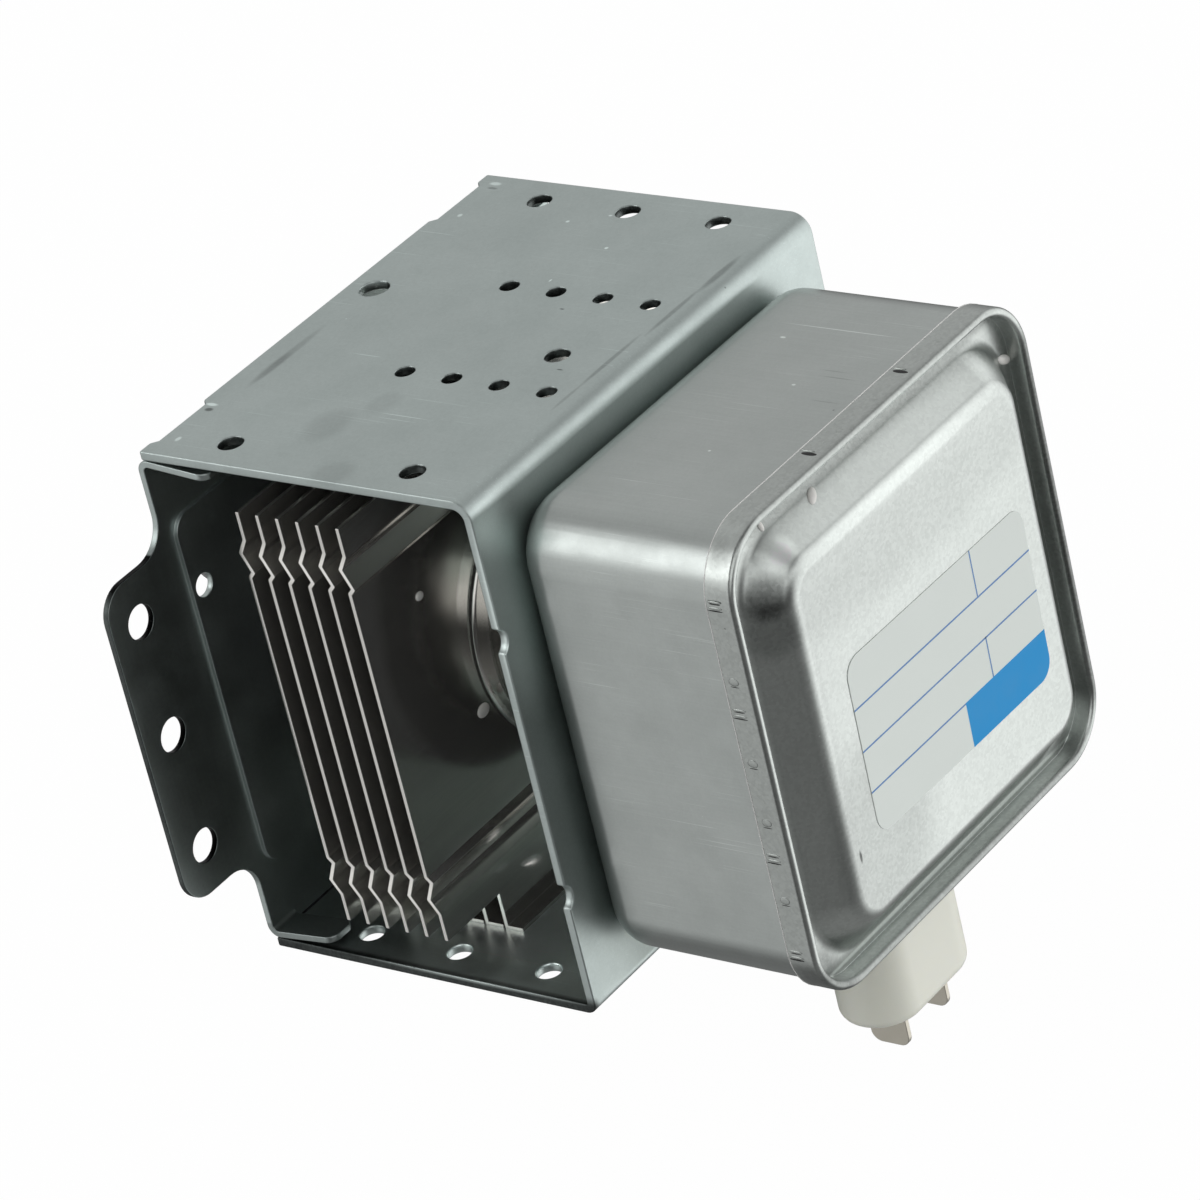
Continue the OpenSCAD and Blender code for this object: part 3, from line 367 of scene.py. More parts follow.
def sheet_finish(name, tint, satin, line_axis, line_amount, cloud_amount, spangle_amount, scratch_amount,
                 bump, marks, metal=1.0):
    """Coated sheet: a tint, a roughness range, pattern amounts, a grain depth, marks and painted light."""
    material, tree, shader = new_finish(name, Metallic=metal)
    plain = place_on(tree)
    stretch = [1.0, 1.0, 1.0]
    stretch[line_axis] = LINE_STRETCH
    lines = noise(tree, place_on(tree, stretch), LINE_WIDTH, 3.0, 0.6)
    clouds = noise(tree, plain, CLOUD_SIZE, 3.0, 0.5)
    grain = noise(tree, plain, GRAIN_SIZE, 2.0, 0.6)
    spangle = add_node(tree, "ShaderNodeSeparateColor", Color=cells(tree, plain, SPANGLE_SIZE)["Color"])
    level = total(
        tree, 1.0, centred(tree, lines, line_amount), centred(tree, clouds, cloud_amount),
        centred(tree, grain, GRAIN_AMOUNT), centred(tree, spangle.outputs[0], spangle_amount))
    scratches = hairlines(tree, axis=1, turn=(0, 0, 7), width=0.16, length=22.0, rarity=0.70)
    crossing = hairlines(tree, axis=1, turn=(0, 0, -12), width=0.14, length=12.0, rarity=0.71)
    light_dots = specks(tree, place_on(tree), spacing=11.0, radius=0.17)
    dark_dots = specks(tree, place_on(tree, turn=(20, 40, 10)), spacing=13.0, radius=0.20)
    layers = [(scratches, scratch_amount), (crossing, scratch_amount * CROSSING_SHARE),
              (light_dots, LIGHT_DOT_AMOUNT), (dark_dots, DARK_DOT_AMOUNT)]
    layers += [(spot(tree, centre, half), shade) for centre, half, shade in marks]
    for pattern, amount in layers:
        level = calc(tree, "MULTIPLY_ADD", pattern, amount, level)
    tinted(tree, shader, tint, level)
    worn = total(tree, noise(tree, plain, WEAR_SIZE, 4.0, 0.6), centred(tree, lines, 0.4),
                 centred(tree, spangle.outputs[1], spangle_amount * 2))
    tree.links.new(ramp(tree, worn, 0.25, 0.75, *satin), shader.inputs["Roughness"])
    relief(tree, shader, total(tree, grain, calc(tree, "MULTIPLY", lines, line_amount * 3)), bump)
    return material


def face_and_place(tree):
    """Sockets of the surface's direction and of its place, each as X, Y and Z."""
    place = tree.nodes.new("ShaderNodeTexCoord")
    return [add_node(tree, "ShaderNodeSeparateXYZ", Vector=place.outputs[source]).outputs
            for source in ("Normal", "Object")]


def shade_where(tree, mask, shade):
    """Lightens or darkens a finished coat where a mask socket is one."""
    tinter = tree.nodes["Principled BSDF"].inputs["Base Color"].links[0].from_node
    level = tinter.inputs["Scale"].links[0].from_socket
    tree.links.new(calc(tree, "MULTIPLY_ADD", mask, shade, level), tinter.inputs["Scale"])


print("sheet recipe ready")

# %% [markdown]
# The yoke has the most history. Two stake dents at each front corner of the top leg hold the plate, each
# drawn as a painted highlight beside a painted shadow. A rub line runs near the front edge, darker patches
# along the bend are partly smudges and partly painted shade, and a few hair scratches and specks are left
# from handling. The lower leg's cut edge is darkened with painted shade, and its inner face and the web's
# upper strip are lightened with painted light. A mark is a place, half sizes and a shade, where 1 doubles
# the coat's lightness and -1 blackens it. The walls of the punched holes are found by their upright faces
# and darkened with painted shade.

# %% Finish of the yoke
ZINC_TINT = (0.455, 0.512, 0.498)
ZINC_SATIN = (0.36, 0.46)
HOLE_REACH_X = 38.0
HOLE_FRONT_Y = -6.0
HOLE_BACK_Y = -51.0
HOLE_FLOOR_Z = leg_top_z - 2.0
HOLE_PAINTED_SHADE = -0.75

# Dents as painted highlights and shadows, lines and specks on the top leg; then darker patches along its
# bend, partly smudges and partly painted shade, and smudges on the leg
yoke_marks_and_painted_light = flat_marks(leg_top_z, 0.5, (
    (-26.8, -3.2, 0.5, 1.3, 0.8),
    (-28.1, -3.7, 0.6, 0.9, -0.65),
    (-36.0, -4.6, 0.8, 0.5, 0.6),
    (38.0, -4.3, 0.6, 1.3, 0.6),
    (36.7, -4.7, 0.4, 1.1, -0.40),
    (28.5, -4.9, 0.6, 0.5, 0.6),
    (-12.5, -5.3, 10.5, 0.9, -0.20),
    (-16.0, -5.2, 6.0, 1.1, -0.16),
    (-22.8, -33.5, 0.12, 5.3, 0.40),
    (-23.9, -33.0, 0.10, 4.0, 0.30),
    (-9.7, -17.3, 0.12, 3.2, 0.35),
    (30.4, -22.6, 0.4, 0.4, 0.7),
    (33.3, -28.0, 0.3, 0.4, 0.6),
    (24.8, -33.3, 0.4, 0.4, 0.8),
    (14.8, -30.8, 0.5, 0.2, 0.7),
    (8.1, -37.6, 0.2, 0.5, -0.7),
    (-6.6, -47.8, 0.2, 0.7, -0.6),
))
yoke_marks_and_painted_light += flat_marks(leg_top_z, 1.0, (
    (22.0, -54.4, 6.0, 0.7, -0.35),
    (11.0, -54.2, 8.0, 0.5, -0.30),
    (-3.0, -53.4, 9.0, 0.5, -0.30),
    (-13.0, -53.4, 4.0, 0.4, -0.20),
    (-27.6, -23.9, 6.0, 4.0, -0.13),
    (-20.4, -28.2, 4.0, 3.0, -0.10),
    (-38.2, -33.1, 4.0, 4.0, -0.13),
))
# Painted shade on the lower leg's cut edge; painted light on the lower leg's inner face and on the web's
# upper strip
yoke_marks_and_painted_light += [
    ((yoke_low.x, -29.0, yoke_low.z + 0.7), (1.4, 75.0, 2.6), -0.88),
    ((-18.0, -36.0, yoke_low.z + 1.4), (34.0, 30.0, 0.8), 1.0),
    ((yoke_low.x + 3.0, web_y, 24.0), (7.0, 1.0, 20.0), 0.75),
]
yoke_finish = sheet_finish(
    "zinc_sheet", ZINC_TINT, ZINC_SATIN, line_axis=1, line_amount=0.10, cloud_amount=0.16,
    spangle_amount=0.04, scratch_amount=0.30, bump=0.004, marks=yoke_marks_and_painted_light)
tree = yoke_finish.node_tree
face, place = face_and_place(tree)
# Painted shade on the walls of the punched holes in the top leg
hole_wall_shade = ramp(tree, calc(tree, "ABSOLUTE", face[2]), 0.70, 0.40)
for value, low, high in (
        (place[2], HOLE_FLOOR_Z - MASK_EDGE, HOLE_FLOOR_Z),
        (calc(tree, "ABSOLUTE", place[0]), HOLE_REACH_X, HOLE_REACH_X - MASK_EDGE),
        (place[1], HOLE_FRONT_Y, HOLE_FRONT_Y - MASK_EDGE),
        (place[1], HOLE_BACK_Y, HOLE_BACK_Y + MASK_EDGE)):
    hole_wall_shade = calc(tree, "MULTIPLY", hole_wall_shade, ramp(tree, value, low * MM, high * MM))
shade_where(tree, hole_wall_shade, HOLE_PAINTED_SHADE)
print("marks on the yoke:", len(yoke_marks_and_painted_light))

# %% [markdown]
# The plate is cut from the same coated sheet, and its ears are darkened a little with painted shade. The
# ears and the lower tabs end in sheared edges, which are darker, and the step pressed into the plate round
# the tube is drawn as one thin painted highlight.

# %% Finish of the plate
EAR_START = 43.0
LOW_TABS = -36.0
PLATE_STEP_X = 38.2
EAR_EDGE_SHADE = -0.70
TAB_SHARE = 0.5
EAR_MIDDLE = 47.0
PLATE_SHEET = 1.0
plate_face_y = plate_outer_y - PLATE_SHEET
plate_painted_light = []
# Painted highlight along the pressed step and painted shade on the ears
for side in (-1, 1):
    plate_painted_light.append(((side * PLATE_STEP_X, plate_face_y - 0.3, 0), (0.40, 1.2, 31.0), 0.25))
    plate_painted_light.append(((side * EAR_MIDDLE, plate_face_y, 0), (10.0, 3.0, 60.0), -0.40))
plate_finish = sheet_finish(
    "zinc_plate", ZINC_TINT, ZINC_SATIN, line_axis=2, line_amount=0.10, cloud_amount=0.16,
    spangle_amount=0.04, scratch_amount=0.20, bump=0.004, marks=plate_painted_light)
tree = plate_finish.node_tree
face, place = face_and_place(tree)
sheared = ramp(tree, calc(tree, "ABSOLUTE", face[1]), 0.85, 0.45)
on_ears = ramp(tree, calc(tree, "ABSOLUTE", place[0]), EAR_START * MM, (EAR_START + MASK_EDGE) * MM)
on_tabs = ramp(tree, place[2], LOW_TABS * MM, (LOW_TABS - MASK_EDGE) * MM)
outside = calc(tree, "MAXIMUM", on_ears, calc(tree, "MULTIPLY", on_tabs, TAB_SHARE))
shade_where(tree, calc(tree, "MULTIPLY", sheared, outside), EAR_EDGE_SHADE)
print("plate finish:", plate_finish.name)

# %% [markdown]
# The box is drawn deep, so its walls carry faint lines along the draw. A long scratch crosses its top.
# The lid keeps the coat's spangle, a mosaic of tiny grains, and it is smoother than the yoke. Painted light
# brightens its upper slope, the top of its near corner and a line at the foot of the lower slope. Painted
# shade darkens the groove and the bead above it, the skirt, the panel's top and lower left, the left and
# lower slopes, the lower rim, the near corners and the far rim, and one small dent is a painted shadow.

# %% Finishes of the box and the lid
box_marks = flat_marks(box_top_z, 0.5, (
    (19.6, -75.0, 0.12, 11.5, 0.55),
    (16.0, -67.8, 0.3, 0.6, 0.8),
    (5.0, -76.9, 0.3, 0.4, 0.7),
    (-13.1, -75.6, 0.25, 0.3, 0.7),
    (8.0, -82.0, 0.15, 3.5, -0.25),
    (9.5, -80.5, 0.15, 2.8, -0.20),
    (2.0, -84.0, 0.15, 3.0, -0.20),
))
box_finish = sheet_finish(
    "drawn_zinc", (0.445, 0.475, 0.460), (0.32, 0.40), line_axis=1, line_amount=0.16, cloud_amount=0.12,
    spangle_amount=0.03, scratch_amount=0.25, bump=0.003, marks=box_marks)

# Middle of the raised panel's slopes, and centre of its round corners
SLOPE = lid_half - 6.4
SLOPE_Y = panel_y + 2.7
CORNER = lid_half - 13.6
# Painted light and shade on the lid, each row a place, half sizes and a shade
LID_PAINTED_LIGHT = (
    ((lid_half - 0.4, panel_y + 3.0, 0), (1.8, 4.0, 55.0), -0.66),
    ((-lid_half, lid_high.y - 2.0, 0), (0.8, 5.0, 60.0), -0.20),
    ((0, lid_high.y - 2.0, lid_half), (60.0, 5.0, 0.8), -0.14),
    ((0, SLOPE_Y, lid_half - 0.7), (60.0, 1.6, 1.2), -0.15),
    ((0, SLOPE_Y + 2.7, lid_half - 3.0), (60.0, 3.0, 2.2), -0.40),
    ((0, SLOPE_Y - 0.7, SLOPE - 0.8), (40.0, 4.5, 5.0), 0.40),
    ((0, panel_y, SLOPE - 10.0), (40.0, 2.0, 8.0), -0.10),
    ((-CORNER - 2.5, SLOPE_Y, CORNER + 6.8), (3.5, 4.0, 3.5), 0.70),
    ((-CORNER - 6.8, SLOPE_Y, CORNER + 2.5), (4.0, 5.0, 4.0), -0.55),
    ((-SLOPE, SLOPE_Y, CORNER - 2.5), (5.0, 5.0, 5.0), -0.30),
    ((0, SLOPE_Y, -SLOPE), (45.0, 4.0, 5.0), -0.25),
    ((0, panel_y + 3.0, 0.4 - lid_half), (55.0, 4.0, 2.2), -0.35),
    ((-lid_half + 3.5, panel_y + 4.0, -lid_half + 3.5), (6.5, 5.0, 6.5), -0.50),
    ((-20.0, panel_y, -17.0), (16.0, 3.0, 20.0), -0.20),
    ((-25.0, panel_y, -16.8), (0.35, 1.0, 1.3), -0.60),
    ((0, SLOPE_Y + 2.6, 2.4 - lid_half), (52.0, 0.7, 0.5), 0.80),
)
lid_finish = sheet_finish(
    "pressed_zinc", (0.500, 0.530, 0.510), (0.32, 0.36), line_axis=0, line_amount=0.04, cloud_amount=0.06,
    spangle_amount=0.12, scratch_amount=0.06, bump=0.004, marks=LID_PAINTED_LIGHT)
print("box and lid finishes:", box_finish.name, lid_finish.name)

# %% [markdown]
# The fins are bright rolled aluminium, almost mirrors, with fine rolling lines along their length. Inside
# the dark yoke they show little but their edges and soft dark reflections. A thin haze of oxide scatters
# some light back out of the gaps, so the metal is not quite pure. Painted highlights brighten the top edges
# at the opening and the crimps, and painted shade darkens the feet under the top leg's holes.

# %% Fin aluminium
CRIMP_Z = 25.5
# Painted highlights on the top edges at the opening and on the crimps, painted shade on the feet under the
# holes
FIN_PAINTED_LIGHT = (
    ((-44.0, -30.0, fin_top_z), (18.0, 60.0, 0.8), 2.0),
    ((16.0, -30.0, fin_top_z), (46.0, 80.0, 6.0), -0.80),
    ((0, -20.0, CRIMP_Z), (90.0, 60.0, 4.5), 0.5),
    ((0, -20.0, -CRIMP_Z), (90.0, 60.0, 4.5), 0.5),
)
fin_finish = sheet_finish(
    "fin_aluminium", (0.60, 0.59, 0.56), (0.10, 0.18), line_axis=0, line_amount=0.25, cloud_amount=0.08,
    spangle_amount=0.0, scratch_amount=0.10, bump=0.0005, marks=FIN_PAINTED_LIGHT, metal=0.92)
print("fin finish:", fin_finish.name)

# %% [markdown]
# The other materials are plainer: sintered ferrite is a matt charcoal with fine pits, ceramic is a chalky
# pale pink, copper and iron are machined metals. The anode is copper too, but tinned outside, where the
# fins grip it. One recipe with a tint, a mottle and a pit depth covers all of them, because each differs
# from the next only in those numbers.

# %% Finishes of the tube and the connector


def mottled_finish(name, tint, roughness, metallic, mottle, amount, pit_depth, **sockets):
    """Even material with a mottle of a given size and amount, and fine pits."""
    material, tree, shader = new_finish(name, Metallic=metallic, **sockets)
    plain = place_on(tree)
    cloud = noise(tree, plain, mottle, 3.0, 0.6)
    pits = noise(tree, plain, mottle / 8, 2.0, 0.7)
    tinted(tree, shader, tint, total(tree, 1.0, centred(tree, cloud, amount)))
    uneven = total(tree, cloud, centred(tree, pits, 0.3))
    satin = ramp(tree, uneven, 0.2, 0.8, roughness - 0.06, roughness + 0.08)
    tree.links.new(satin, shader.inputs["Roughness"])
    relief(tree, shader, pits, pit_depth)
    return material


# Name, tint, roughness, metallic share, size and amount of the mottle, depth of the pits
ferrite_finish = mottled_finish("ferrite", (0.050, 0.050, 0.053), 0.55, 0.0, 3.0, 0.5, 0.03)
copper_finish = mottled_finish("copper", (0.76, 0.43, 0.31), 0.32, 1.0, 4.0, 0.2, 0.004)
tinned_finish = mottled_finish("tinned_copper", (0.42, 0.41, 0.38), 0.20, 1.0, 4.0, 0.2, 0.003)
shell_finish = mottled_finish("bright_shell", (0.86, 0.85, 0.82), 0.28, 1.0, 4.0, 0.1, 0.002)
iron_finish = mottled_finish("pole_iron", (0.38, 0.38, 0.39), 0.42, 1.0, 4.0, 0.2, 0.006)
steel_finish = mottled_finish("drawn_steel", (0.60, 0.60, 0.61), 0.22, 1.0, 5.0, 0.15, 0.003)
wire_finish = mottled_finish("mesh_wire", (0.54, 0.53, 0.51), 0.30, 1.0, 1.0, 0.3, 0.002)
ceramic_finish = mottled_finish("tube_ceramic", (0.82, 0.70, 0.72), 0.50, 0.0, 2.0, 0.08, 0.005)
cathode_finish = mottled_finish("cathode_metal", (0.45, 0.44, 0.43), 0.45, 1.0, 2.0, 0.2, 0.005)
plastic_finish = mottled_finish(
    "connector_plastic", (0.89, 0.90, 0.80), 0.42, 0.0, 8.0, 0.05, 0.006,
    Subsurface_Weight=0.2, Subsurface_Radius=(1.0, 0.9, 0.7), Subsurface_Scale=0.002)
blade_finish = mottled_finish("blade_metal", (0.50, 0.475, 0.41), 0.34, 1.0, 3.0, 0.2, 0.004)
print("tube finishes ready")

# %% [markdown]
# A solid from the frame has knife edges, and no pressed or sawn sheet has those: a fine broken edge catches
# a thread of light and sells the piece as real. So each main solid is copied, its loose triangles are
# merged, flat areas are joined into large faces, and every sharp edge gets a small bevel. Where many short
# edges meet, a bevel can throw a corner off the sheet, so each such corner is put back on the surface.

# %% Dress a copy of a solid
WELD = 0.002
FLAT_ANGLE = math.radians(0.6)
EDGE_ANGLE = math.radians(38)
SMOOTH_ANGLE = math.radians(50)
STRAY_SHARE = 0.6


def new_piece(name, mesh, finish, slot_name, *nodes):
    """Object at the origin that rides on the one body, takes a finish and stands for its solids."""
    mesh.materials.clear()
    mesh.materials.append(finish)
    piece = bpy.data.objects.new(name, mesh)
    scene.collection.objects.link(piece)
    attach(piece, BODY)
    if nodes:
        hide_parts(*nodes)
    return piece


def mesh_of(shape, name):
    """Mesh of a finished shape, which is then freed."""
    mesh = bpy.data.meshes.new(name)
    shape.to_mesh(mesh)
    shape.free()
    return mesh


def new_host(mesh, kind):
    """Helper object with one modifier on a mesh."""
    host = bpy.data.objects.new("host", mesh)
    scene.collection.objects.link(host)
    return host, host.modifiers.new("step", kind)


def take_mesh(host, modifier):
    """Plain mesh that a host's modifier makes; both are then removed."""
    graph = bpy.context.evaluated_depsgraph_get()
    mesh = bpy.data.meshes.new_from_object(host.evaluated_get(graph))
    host.modifiers.remove(modifier)
    bpy.data.objects.remove(host)
    return mesh


def merged_copy(node):
    """Clean mesh of a solid: welded, with its flat triangles joined."""
    shape = bmesh.new()
    shape.from_mesh(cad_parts[node].data)
    bmesh.ops.remove_doubles(shape, verts=shape.verts[:], dist=WELD * MM)
    bmesh.ops.dissolve_limit(
        shape, angle_limit=FLAT_ANGLE, verts=shape.verts[:], edges=shape.edges[:], delimit={"NORMAL"})
    return shape


def break_edges(shape, width):
    """Small bevel of a given width in millimetres along the sharp edges."""
    surface = BVHTree.FromBMesh(shape)
    sharp = [edge for edge in shape.edges
             if len(edge.link_faces) == 2 and edge.calc_face_angle(0.0) > EDGE_ANGLE]
    bmesh.ops.bevel(shape, geom=sharp, offset=width * MM, offset_type="OFFSET", segments=2, profile=0.5,
                    affect="EDGES", clamp_overlap=False)
    for vertex in shape.verts:
        nearest, _, _, distance = surface.find_nearest(vertex.co)
        if distance > STRAY_SHARE * width * MM:
            vertex.co = nearest
    return len(sharp)


def soften(shape):
    """Smooth shading with crisp edges where faces meet at a wide angle."""
    for face in shape.faces:
        face.smooth = True
    for edge in shape.edges:
        edge.smooth = len(edge.link_faces) == 2 and edge.calc_face_angle(0.0) < SMOOTH_ANGLE


def level_normals(mesh):
    """Copy of a mesh whose large flat faces shade flat right up to their bevels."""
    host, modifier = new_host(mesh, "WEIGHTED_NORMAL")
    modifier.weight = 100
    modifier.keep_sharp = True
    return take_mesh(host, modifier)


def dressed(node, finish, slot_name, edge_width):
    """Bevelled copy of a solid that stands for it."""
    shape = merged_copy(node)
    count = break_edges(shape, edge_width)
    soften(shape)
    mesh = level_normals(mesh_of(shape, node + "_dressed"))
    print(node, "edges broken:", count, " faces:", len(mesh.polygons))
    return new_piece(node + "_dressed", mesh, finish, slot_name, node)


print("dressing helpers ready")

# %% [markdown]
# The yoke is 1.4 mm sheet and the plate 1 mm, both punched and folded. A punch rounds the edge of a hole on
# the side it enters, so the same bevel serves the holes and the outline.

# %% Yoke and mounting plate
YOKE_EDGE = 0.24
PLATE_EDGE = 0.14

dressed("yoke", yoke_finish, "zinc_sheet", YOKE_EDGE)
dressed("mounting_plate", plate_finish, "zinc_sheet", PLATE_EDGE)

# %% [markdown]
# The lower leg butts against the plate, and the joint is staked tight. In the solids a hair of clearance is
# left there, through which the white floor would shine, so a dark bead, a painted shadow, fills the joint
# between the tabs.

# %% Joint of the lower leg
# Painted shadow: a near-black finish for this joint and for the lid's slots and ridge shadows
shadow_finish = mottled_finish("dark_gap", (0.02, 0.02, 0.02), 0.7, 0.0, 2.0, 0.3, 0.01)
JOINT_HALF_LENGTH = 35.0
JOINT_LOW = Vector((-JOINT_HALF_LENGTH, plate_outer_y - 0.98, yoke_low.z + 0.3))
JOINT_HIGH = Vector((JOINT_HALF_LENGTH, plate_outer_y - 0.50, yoke_low.z + 1.49))

joint = bmesh.new()
bmesh.ops.create_cube(joint, size=1.0)
for vertex in joint.verts:
    vertex.co = Vector([(low + high) / 2 + share * (high - low)
                        for low, high, share in zip(JOINT_LOW, JOINT_HIGH, vertex.co)]) * MM
new_piece("leg_joint", mesh_of(joint, "leg_joint"), shadow_finish, "zinc_sheet")
print("size of the joint:", [round(value, 2) for value in JOINT_HIGH - JOINT_LOW])

# %% [markdown]
# Fins are sheared from thin strip, which leaves a bright, almost square edge, so their bevel is a hair
# wide. A magnet is pressed from powder and ground, and its brittle edge is broken more.

# %% Fins and magnets
FIN_EDGE = 0.06
MAGNET_EDGE = 0.25

for number in range(1, 7):
    dressed("cooling_fin_" + str(number), fin_finish, "fin_aluminium", FIN_EDGE)
for magnet in ("output_magnet", "input_magnet"):
    dressed(magnet, ferrite_finish, "magnet_ferrite", MAGNET_EDGE)

# %% [markdown]
# The box is drawn from one sheet, its lid is pressed and crimped over the open edge, and the connector is
# moulded. The lid's flat panel is set back by a tenth of a millimetre, the room that its label needs, so
# that the label's face ends where the solid's panel did.

# %% Filter box, lid and connector
LABEL_ROOM = 0.10
PANEL_SKIN = 0.02
BOX_EDGE = 0.10
LID_EDGE = 0.08
FLANGE_EDGE = 0.12
CASE_EDGE = 0.20
BLADE_EDGE = 0.10

dressed("filter_box", box_finish, "zinc_sheet", BOX_EDGE)
lid = dressed("filter_box_lid", lid_finish, "lid_sheet", LID_EDGE)
for vertex in lid.data.vertices:
    if vertex.co.y < (panel_y + PANEL_SKIN) * MM:
        vertex.co.y += LABEL_ROOM * MM
dressed("capacitor_flange", lid_finish, "lid_sheet", FLANGE_EDGE)
dressed("capacitor_case", plastic_finish, "connector_plastic", CASE_EDGE)
for number in (1, 2):
    dressed("terminal_blade_" + str(number), blade_finish, "blade_metal", BLADE_EDGE)

# %% [markdown]
# The tube's outer end stands proud of the plate: a drawn steel shell, a ring of pink ceramic, and a steel
# cap over the pinched copper tube. A sheet retainer holds the gasket round it.

# %% Antenna end
STEEL_EDGE = 0.08
CERAMIC_EDGE = 0.15

for node in ("output_shell", "antenna_cap", "gasket_retainer"):
    dressed(node, steel_finish, "tube_steel", STEEL_EDGE)
dressed("antenna_ceramic", ceramic_finish, "tube_ceramic", CERAMIC_EDGE)

# %% [markdown]
# Small things that repeat are grown by Geometry Nodes. A tree takes points with a turn and a size, sets one
# shape on each, and ends in real geometry with a finish. Four helpers make, link, end and run a tree.

# %% Geometry Nodes helpers


def new_tree(name, **inputs):
    """Geometry-node tree with one geometry input and named inputs; returns it and their sockets."""
    tree = bpy.data.node_groups.new(name, "GeometryNodeTree")
    tree.interface.new_socket("Points", in_out="INPUT", socket_type="NodeSocketGeometry")
    for label, value in inputs.items():
        kind = "NodeSocketInt" if isinstance(value, int) else "NodeSocketFloat"
        if isinstance(value, bpy.types.Material):
            kind = "NodeSocketMaterial"
        socket = tree.interface.new_socket(label.replace("_", " "), in_out="INPUT", socket_type=kind)
        socket.default_value = value
    tree.interface.new_socket("Geometry", in_out="OUTPUT", socket_type="NodeSocketGeometry")
    return tree, tree.nodes.new("NodeGroupInput").outputs


def chain(tree, socket, *nodes):
    """Links a geometry socket through nodes by their first geometry input; returns the last output."""
    for node in nodes:
        tree.links.new(socket, node.inputs[0])
        socket = node.outputs[0] if node.outputs else None
    return socket


def end_tree(tree, shape, finish_socket):
    """Ends a tree: realised instances, smooth faces and one finish."""
    paint = add_node(tree, "GeometryNodeSetMaterial", Material=finish_socket)
    chain(tree, shape, tree.nodes.new("GeometryNodeRealizeInstances"),
          tree.nodes.new("GeometryNodeSetShadeSmooth"), paint, tree.nodes.new("NodeGroupOutput"))


def run_tree(tree, host_mesh, **settings):
    """Mesh grown by a tree from a host mesh, with inputs set by their identifiers."""
    host, modifier = new_host(host_mesh, "NODES")
    modifier.node_group = tree
    for item in tree.interface.items_tree:
        label = item.name.replace(" ", "_")
        if label in settings:
            modifier[item.identifier] = settings[label]
    return take_mesh(host, modifier)


print("growing helpers ready")

# %% [markdown]
# The gasket is a rope of knitted wire that seals the joint to the waveguide against leaking waves. A wire
# that winds round the rope while it runs round the ring is a torus knot, and one such wire, with many laps
# and a winding number that shares no factor with them, covers the whole rope evenly. A second wire winds
# the other way, and a dark core closes the view between them.

# %% Knitted gasket
gasket_low, gasket_high = node_box("rf_gasket")
GASKET_INNER = 10.6
GASKET_LAPS = 26
GASKET_WINDINGS = 157
STEPS_PER_WINDING = 16
WIRE_RADIUS = 0.13
WIRE_SIDES = 5

gasket_outer = gasket_high.x
rope_radius = (gasket_outer + GASKET_INNER) / 2
rope_level = (gasket_low.y + gasket_high.y) / 2
rope_half_width = (gasket_outer - GASKET_INNER) / 2 - WIRE_RADIUS
rope_half_height = (gasket_high.y - gasket_low.y) / 2 - WIRE_RADIUS

gasket_tree, knob = new_tree(
    "knitted_rope", Ring_radius=0.0, Half_width=0.0, Half_height=0.0, Level=0.0, Wire_radius=0.0, Laps=1,
    Windings=1, Steps=2, Finish=wire_finish)


def wire_along(tree, line, radius, sides):
    """Round wire along a line of edges; the line and the radius are sockets."""
    circle = add_node(tree, "GeometryNodeCurvePrimitiveCircle", Resolution=sides, Radius=radius)
    wire = add_node(tree, "GeometryNodeCurveToMesh", Profile_Curve=circle.outputs[0])
    return chain(tree, line, tree.nodes.new("GeometryNodeMeshToCurve"), wire)


def torus_knot(tree, knob, side):
    """One wire of the rope, winding one way or the other."""
    line = add_node(tree, "GeometryNodeMeshLine", Count=knob["Steps"])
    share = calc(tree, "DIVIDE", tree.nodes.new("GeometryNodeInputIndex").outputs[0],
                 calc(tree, "SUBTRACT", knob["Steps"], 1.0))
    lap = calc(tree, "MULTIPLY", calc(tree, "MULTIPLY", share, knob["Laps"]), math.tau)
    wind = calc(tree, "MULTIPLY", calc(tree, "MULTIPLY", share, knob["Windings"]), math.tau * side)
    reach = calc(tree, "MULTIPLY_ADD", calc(tree, "COSINE", wind), knob["Half width"], knob["Ring radius"])
    height = calc(tree, "MULTIPLY_ADD", calc(tree, "SINE", wind), knob["Half height"], knob["Level"])
    point = add_node(
        tree, "ShaderNodeCombineXYZ", X=calc(tree, "MULTIPLY", reach, calc(tree, "COSINE", lap)), Y=height,
        Z=calc(tree, "MULTIPLY", reach, calc(tree, "SINE", lap)))
    laid = add_node(tree, "GeometryNodeSetPosition", Geometry=line.outputs[0], Position=point.outputs[0])
    return wire_along(tree, laid.outputs[0], knob["Wire radius"], WIRE_SIDES)


rope = gasket_tree.nodes.new("GeometryNodeJoinGeometry")
for side in (1, -1):
    gasket_tree.links.new(torus_knot(gasket_tree, knob, side), rope.inputs[0])
end_tree(gasket_tree, rope.outputs[0], knob["Finish"])
gasket_mesh = run_tree(
    gasket_tree, bpy.data.meshes.new("empty"), Ring_radius=rope_radius * MM,
    Half_width=rope_half_width * MM, Half_height=rope_half_height * MM, Level=rope_level * MM,
    Wire_radius=WIRE_RADIUS * MM, Laps=GASKET_LAPS, Windings=GASKET_WINDINGS,
    Steps=GASKET_WINDINGS * STEPS_PER_WINDING + 1)
new_piece("rf_gasket_wires", gasket_mesh, wire_finish, "gasket_mesh", "rf_gasket")
print("gasket faces:", len(gasket_mesh.polygons))

# %% [markdown]
# The core of the rope is the same ring, a little smaller and dark, as the shadow between many layers of
# wire would be. It is swept by hand: a small ellipse, turned round the axis.

# %% Core of the gasket
core_finish = mottled_finish("mesh_core", (0.10, 0.10, 0.10), 0.6, 1.0, 0.8, 0.5, 0.05)
CORE_STEPS = 96
CORE_SIDES = 20
CORE_INSET = 0.15

